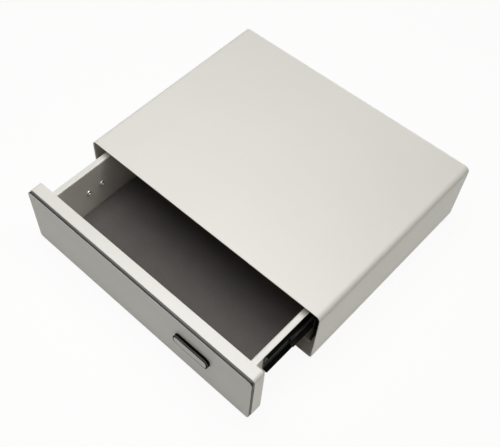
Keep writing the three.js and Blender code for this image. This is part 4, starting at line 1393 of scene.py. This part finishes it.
@dataclass
class FrontPanel:
    """The hollow painted panel, its layered fascia, the press pad and the battery lid.

    Attributes:
        rim: How far the body's front and the seal reach in from the panel's outline.
        seal_step: The depth and the width of the groove around the seal, next to the body.
        pad_start: How much further right than its nodes the visible pad starts.
        pad_border: The width of the cap that shows around its plate.
        pad_rim: How far the cap's black rim stands proud, and how far it lies in from the cap's edge.
        stem_lap: Where the stem starts behind the cap's face, and the depth of its collar.
        hook_slot: The bottom and top of the hook's slot.
        hook_gap: The slot's clearance on each side of the hook.
        grip_start: How far the first groove of the battery lid lies from its right end.
    """

    sheet: float = 1.5 * MM
    rim: float = 8.0 * MM
    corner: float = 6.0 * MM
    corner_steps: int = 8
    least_corner: float = 0.5 * MM
    body_edge: Edge = Edge(0.5 * MM, 3)
    seal_edge: Edge = Edge(0.4 * MM, 3)
    seal_step: float = 0.9 * MM
    trim_edge: Edge = Edge(0.3 * MM)
    face_edge: Edge = Edge(0.2 * MM)
    pad_corner: float = 8.0 * MM
    pad_start: float = 3.0 * MM
    pad_border: float = 2.3 * MM
    pad_rim: Point = (0.4 * MM, 0.3 * MM)
    base_edge: Edge = Edge(0.3 * MM, 3)
    cap_depth: float = 2.1 * MM
    cap_edge: Edge = Edge(0.6 * MM, 4)
    plate_edge: Edge = Edge(0.35 * MM, 3)
    stem_half: Point = (20.0 * MM, 4.0 * MM)
    stem_corner: float = 0.5 * MM
    stem_lap: float = 1.5 * MM
    collar_half: Point = (23.0 * MM, 7.0 * MM)
    hook_slot: Point = (57.0 * MM, 72.1 * MM)
    hook_gap: float = 1.5 * MM
    slot_corner: float = 1.0 * MM
    lid_corner: float = 3.0 * MM
    lid_edge: Edge = Edge(0.25 * MM)
    grip_count: int = 5
    grip_start: float = 9.0 * MM
    grip_pitch: float = 3.0 * MM
    grip_width: float = 1.4 * MM
    grip_margin: float = 13.0 * MM
    grip_depth: float = 0.5 * MM
    grip_corner: float = 0.6 * MM

    def rounded_box(self, node: str, inset: float, corner: float, start: float) -> list[Point]:
        """Gives a rounded outline of a node's box in X and Z.

        Args:
            node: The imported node.
            inset: How far the outline is drawn in.
            corner: The corner radius before that.
            start: How much further right the outline starts.

        Returns:
            The outline.
        """
        low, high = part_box(node)
        radius = max(corner - inset, self.least_corner)
        return block(low.x + start + inset, high.x - inset, low.z + inset, high.z - inset,
                     radius, self.corner_steps)

    def outline(self, node: str, inset: float = 0.0) -> list[Point]:
        """Gives the outline of one of the panel's layers, drawn in by an inset."""
        return self.rounded_box(node, inset, self.corner, 0.0)

    def pad_outline(self, node: str, inset: float = 0.0) -> list[Point]:
        """Gives the outline of one of the pad's layers, drawn in by an inset."""
        return self.rounded_box(node, inset, self.pad_corner, self.pad_start)

    def body(self) -> None:
        """Builds the painted body, hollow and open at the front, with the hook's slot in its back."""
        node = "panel_body"
        low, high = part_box(node)
        hook_low, hook_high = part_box("latch_hook")
        hollow = Solid().slab(
            self.outline(node, self.sheet), low.y + self.sheet, high.y - self.sheet, Along.Y)
        mouth = Solid().slab(
            self.outline(node, self.rim), low.y - self.sheet, high.y - 2 * self.sheet, Along.Y)
        slot = Solid().slab(
            block(hook_low.x - self.hook_gap, hook_high.x + self.hook_gap, *self.hook_slot, self.slot_corner),
            high.y - 2 * self.sheet, high.y + self.sheet, Along.Y)
        made = through(node, self.outline(node)).cut(hollow, mouth, slot)
        add_piece("panel_shell", made.soften(self.body_edge), BODY_PAINT, "drawer", node)

    def fascia(self) -> None:
        """Builds the stepped seal, the black plate and the silver face."""
        node = "fascia_gasket"
        low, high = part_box(node)
        hole = self.outline(node, self.rim)
        step = high.y - self.seal_step
        seal = Solid().slab(self.outline(node), low.y, step, Along.Y, [hole]).soften(self.seal_edge)
        seal.slab(self.outline(node, self.seal_step), step, high.y, Along.Y, [hole])
        add_piece("edge_seal", seal, SEAL_RUBBER, "drawer", node)
        for name, node, edge, finish in (("trim_plate", "fascia_backplate", self.trim_edge, TRIM_BLACK),
                                         ("front_face", "fascia_face", self.face_edge, FACE_LACQUER)):
            add_piece(name, through(node, self.outline(node)).soften(edge), finish, "drawer", node)

    def pad(self) -> None:
        """Builds the pad's surround, its moving cap with stem, collar and black rim, and its silver plate;
        the surround is near-black as painted shade and the rim shares that black, while the cap is a lighter
        grey as painted light.
        """
        base = through("pad_surround", self.pad_outline("pad_surround")).soften(self.base_edge)
        # painted shade: the surround is near-black
        add_piece("pad_base", base, PAD_SHADE_BLACK, "drawer", "pad_surround")
        low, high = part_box("pad_key")
        cap = Solid().slab(self.pad_outline("key_face"), low.y, low.y + self.cap_depth, Along.Y)
        cap.soften(self.cap_edge)
        face_low, face_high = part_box("key_face")
        middle = (face_low + face_high) / 2
        for (half_x, half_z), start in ((self.stem_half, low.y + self.stem_lap),
                                        (self.collar_half, high.y - self.stem_lap)):
            stem = block(middle.x - half_x, middle.x + half_x, middle.z - half_z, middle.z + half_z,
                         self.stem_corner, steps=2)
            cap.slab(stem, start, high.y, Along.Y)
        # painted light: the cap is a lighter grey than the surround so that its top reads lit
        add_piece("pad_cap", cap, PAD_LIT_BLACK, "key", "pad_key")
        inside = self.pad_outline("key_face", self.pad_border)
        proud, inset = self.pad_rim
        rim = Solid().slab(self.pad_outline("key_face", inset), low.y - proud, low.y, Along.Y, [inside])
        add_piece("pad_rim", rim, PAD_SHADE_BLACK, "key")
        plate = through("key_face", inside).soften(self.plate_edge)
        add_piece("pad_plate", plate, PAD_LACQUER, "key", "key_face")

    def lid(self) -> None:
        """Builds the battery lid with its grip grooves."""
        node = "battery_cover"
        low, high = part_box(node)
        starts = [high.x - self.grip_start - k * self.grip_pitch for k in range(self.grip_count)]
        grooves = [
            Solid().slab(block(x, x + self.grip_width, low.z + self.grip_margin, high.z - self.grip_margin,
                               self.grip_corner, steps=3), high.y - self.grip_depth, high.y + PAST, Along.Y)
            for x in starts]
        lid = through(node, block(low.x, high.x, low.z, high.z, self.lid_corner)).cut(*grooves)
        add_piece("battery_lid", lid.soften(self.lid_edge), BOX_BLACK, "drawer", node)

    def build(self) -> None:
        """Builds every piece of the panel."""
        self.body()
        self.fascia()
        self.pad()
        self.lid()


@dataclass
class Electronics:
    """What works inside the closed panel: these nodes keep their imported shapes."""

    finishes: tuple[tuple[Finish, tuple[str, ...]], ...] = (
        (BOARD, ("control_board",)),
        (BOX_BLACK, ("pad_switch", "buzzer", "battery_holder")),
        (BUFFER_RUBBER, ("key_dome",)),
        (LEAD_SLEEVE, ("battery_lead", "motor_lead")),
        (ZINC, ("lock_gearbox", "lock_motor", "motor_bracket", "hook_shaft")),
        (CELL_SLEEVE, ("battery_1", "battery_2", "battery_3", "battery_4")),
    )

    def build(self) -> None:
        """Dresses the inner nodes."""
        for finish, nodes in self.finishes:
            for node in nodes:
                paint_node(node, finish)


@dataclass
class LockHook:
    """The steel hook that swings out of the panel's back.

    Attributes:
        pivot: The pivot's place in Y and Z.
        raised: How far the hook stands raised.
        step: How much the arm is thinner than the hub, on each side.
        arm: The arm's corners about the pivot with the hook level, in millimetres.
    """

    pivot: Point = (-296.5 * MM, 62 * MM)
    raised: float = math.radians(25)
    hub: float = 5.0 * MM
    hub_sides: int = 32
    bore: float = 1.7 * MM
    bore_sides: int = 24
    step: float = 0.15 * MM
    edge: Edge = Edge(0.25 * MM)
    arm: tuple[Corner, ...] = (
        (0, -3.5, 0), (15.5, -3.5, 0.8), (15.5, 1.5, 1.2), (22.5, 1.5, 1.2), (22.5, -8, 0.8), (25.4, -8, 0.5),
        (27, -6.4, 0.5), (27, 4, 2.5), (0, 4, 0))

    def build(self) -> None:
        """Builds the hook in its raised place."""
        low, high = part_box("latch_hook")
        y, z = self.pivot
        cos, sin = math.cos(self.raised) * MM, math.sin(self.raised) * MM
        arm = [(y + u * cos - v * sin, z + u * sin + v * cos) for u, v in rounded(self.arm, steps=4)]
        bore = Solid().rod(self.bore, self.pivot, low.x - PAST, high.x + PAST, Along.X)
        hook = Solid().slab(arm, low.x + self.step, high.x - self.step, Along.X).cut(bore)
        hook.slab(circle(self.pivot, self.hub, self.hub_sides), low.x, high.x, Along.X,
                  [circle(self.pivot, self.bore, self.bore_sides)])
        add_piece("hook_plate", hook.soften(self.edge), ZINC, "hook", "latch_hook")


@dataclass(frozen=True)
class SoftBox:
    """One soft studio lamp: where it hangs, what it faces, its width and height, power and colour."""

    name: str
    place: Triple
    aim: Triple
    size: Point
    power: float
    colour: Colour = (1.0, 1.0, 1.0)


@dataclass
class Studio:
    """The pale floor, the soft light and the camera.

    Attributes:
        camera_turn: The camera's turn about X, Y and Z, in degrees.
        shift: How far the view is shifted across and up.
        clip: The nearest and the farthest that the camera sees.
        floor_drop: How far the floor lies below the housing's underside.
        floor_white: How much of the floor that is seen is plain white; the rest holds the shadow.
        sky_strength: The strength of the faint light from all around.
    """

    camera_place: Triple = (0.44896, -0.62774, 1.01791)
    camera_turn: Triple = (32.67385, 0.17522, 43.80102)
    lens: float = 54.843
    sensor: float = 36.0
    shift: Point = (0.090, 0.066)
    clip: Point = (0.02, 60.0)
    floor_reach: float = 12.0
    floor_drop: float = 0.5 * MM
    floor_white: float = 0.93
    floor_colour: Colour = (0.94, 0.93, 0.865)
    floor_roughness: float = 0.9
    floor_gloss: float = 0.1
    sky: Colour = (1.0, 0.99, 0.93)
    sky_strength: float = 0.01
    lamps: tuple[SoftBox, ...] = (
        SoftBox("over_back_left", (-0.6, 0.4, 1.5), (-0.1, -0.1, 0.1), (0.6, 0.6), 1.14, (0.970, 0.987, 1.0)),
        SoftBox("over_left", (-0.3, 0.1, 1.5), (-0.1, -0.1, 0.1), (0.6, 0.6), 2.96, (0.938, 0.961, 1.0)),
        SoftBox("over_drawer", (-0.3, -0.3, 1.3), (-0.2, -0.3, 0.1), (0.6, 0.6), 4.56, (0.907, 0.958, 1.0)),
        SoftBox("over_top", (0.1, 0.15, 1.3), (0.0, -0.2, 0.1), (0.6, 0.6), 3.52, (0.983, 0.974, 1.0)),
        SoftBox("over_front", (0.0, -0.45, 1.05), (0.0, -0.35, 0.1), (0.6, 0.6), 1.96, (1.0, 0.950, 0.964)),
        SoftBox("back_right", (0.9, 0.5, 1.7), (0.0, -0.1, 0.1), (1.0, 1.0), 5.12, (1.0, 0.969, 0.830)),
        SoftBox("low_front", (0.1, -2.0, 0.7), (0.0, -0.3, 0.06), (1.6, 1.0), 5.01, (1.0, 0.962, 0.949)),
    )

    def camera(self) -> None:
        """Places the camera at the photograph's viewpoint."""
        data = bpy.data.cameras.new("camera")
        data.sensor_width = self.sensor
        data.lens = self.lens
        data.shift_x, data.shift_y = self.shift
        data.clip_start, data.clip_end = self.clip
        made = placed("camera", data)
        made.location = self.camera_place
        made.rotation_euler = Euler([math.radians(angle) for angle in self.camera_turn], "XYZ")
        bpy.context.scene.camera = made

    def floor(self) -> None:
        """Lays the floor: white to the camera and in reflections, with a trace of the shadow left."""
        shader = Shader("studio_floor")
        shader.finish(Base_Color=self.floor_colour, Roughness=self.floor_roughness,
                      Specular_IOR_Level=self.floor_gloss)
        glow = shader.node("ShaderNodeEmission", {}, {"Color": WHITE, "Strength": 1.0})
        lit = Value(shader, shader.surface.outputs[0])
        mixed = shader.node(
            "ShaderNodeMixShader", {}, {0: shader.seen() * self.floor_white, 1: lit, 2: glow})
        shader.feed(shader.output, 0, mixed)
        data = bpy.data.meshes.new("studio_floor")
        corners = [(u * self.floor_reach, v * self.floor_reach, -self.floor_drop)
                   for u, v in ((-1, -1), (1, -1), (1, 1), (-1, 1))]
        data.from_pydata(corners, [], [(0, 1, 2, 3)])
        data.materials.append(shader.material)
        made = placed("studio_floor", data)

    def hang(self, lamp: SoftBox) -> None:
        """Hangs one soft box so that it faces its aim.

        Args:
            lamp: The soft box.
        """
        data = bpy.data.lights.new(lamp.name, "AREA")
        data.shape = "RECTANGLE"
        data.size, data.size_y = lamp.size
        data.energy = lamp.power
        data.color = lamp.colour
        made = placed(lamp.name, data)
        made.location = lamp.place
        made.rotation_euler = (Vector(lamp.aim) - Vector(lamp.place)).to_track_quat("-Z", "Y").to_euler()

    def world(self) -> None:
        """Sets the faint surrounding light, white where the camera or a reflection sees it."""
        world = bpy.data.worlds.new("studio_world")
        bpy.context.scene.world = world
        world.use_nodes = True
        nodes = Nodes(world.node_tree)
        faint = nodes.node(
            "ShaderNodeBackground", {}, {"Color": (*self.sky, 1.0), "Strength": self.sky_strength})
        white = nodes.node("ShaderNodeBackground", {}, {"Color": WHITE, "Strength": 1.0})
        mixed = nodes.node("ShaderNodeMixShader", {}, {0: nodes.seen(), 1: faint, 2: white})
        output = nodes.tree.nodes.new("ShaderNodeOutputWorld")
        nodes.feed(output, 0, mixed)

    def build(self) -> None:
        """Sets up the whole studio."""
        bpy.context.scene.view_settings.view_transform = "Standard"
        self.camera()
        self.floor()
        self.world()
        for lamp in self.lamps:
            self.hang(lamp)


def main() -> None:
    """Builds the studio and every sub-assembly in order."""
    logging.basicConfig(level=logging.INFO, format="%(name)s: %(message)s")
    Studio().build()
    Housing().build()
    for side in Side:
        Slide(side).build()
    Tray().build()
    FrontPanel().build()
    Electronics().build()
    LockHook().build()


if __name__ == "__main__":
    main()
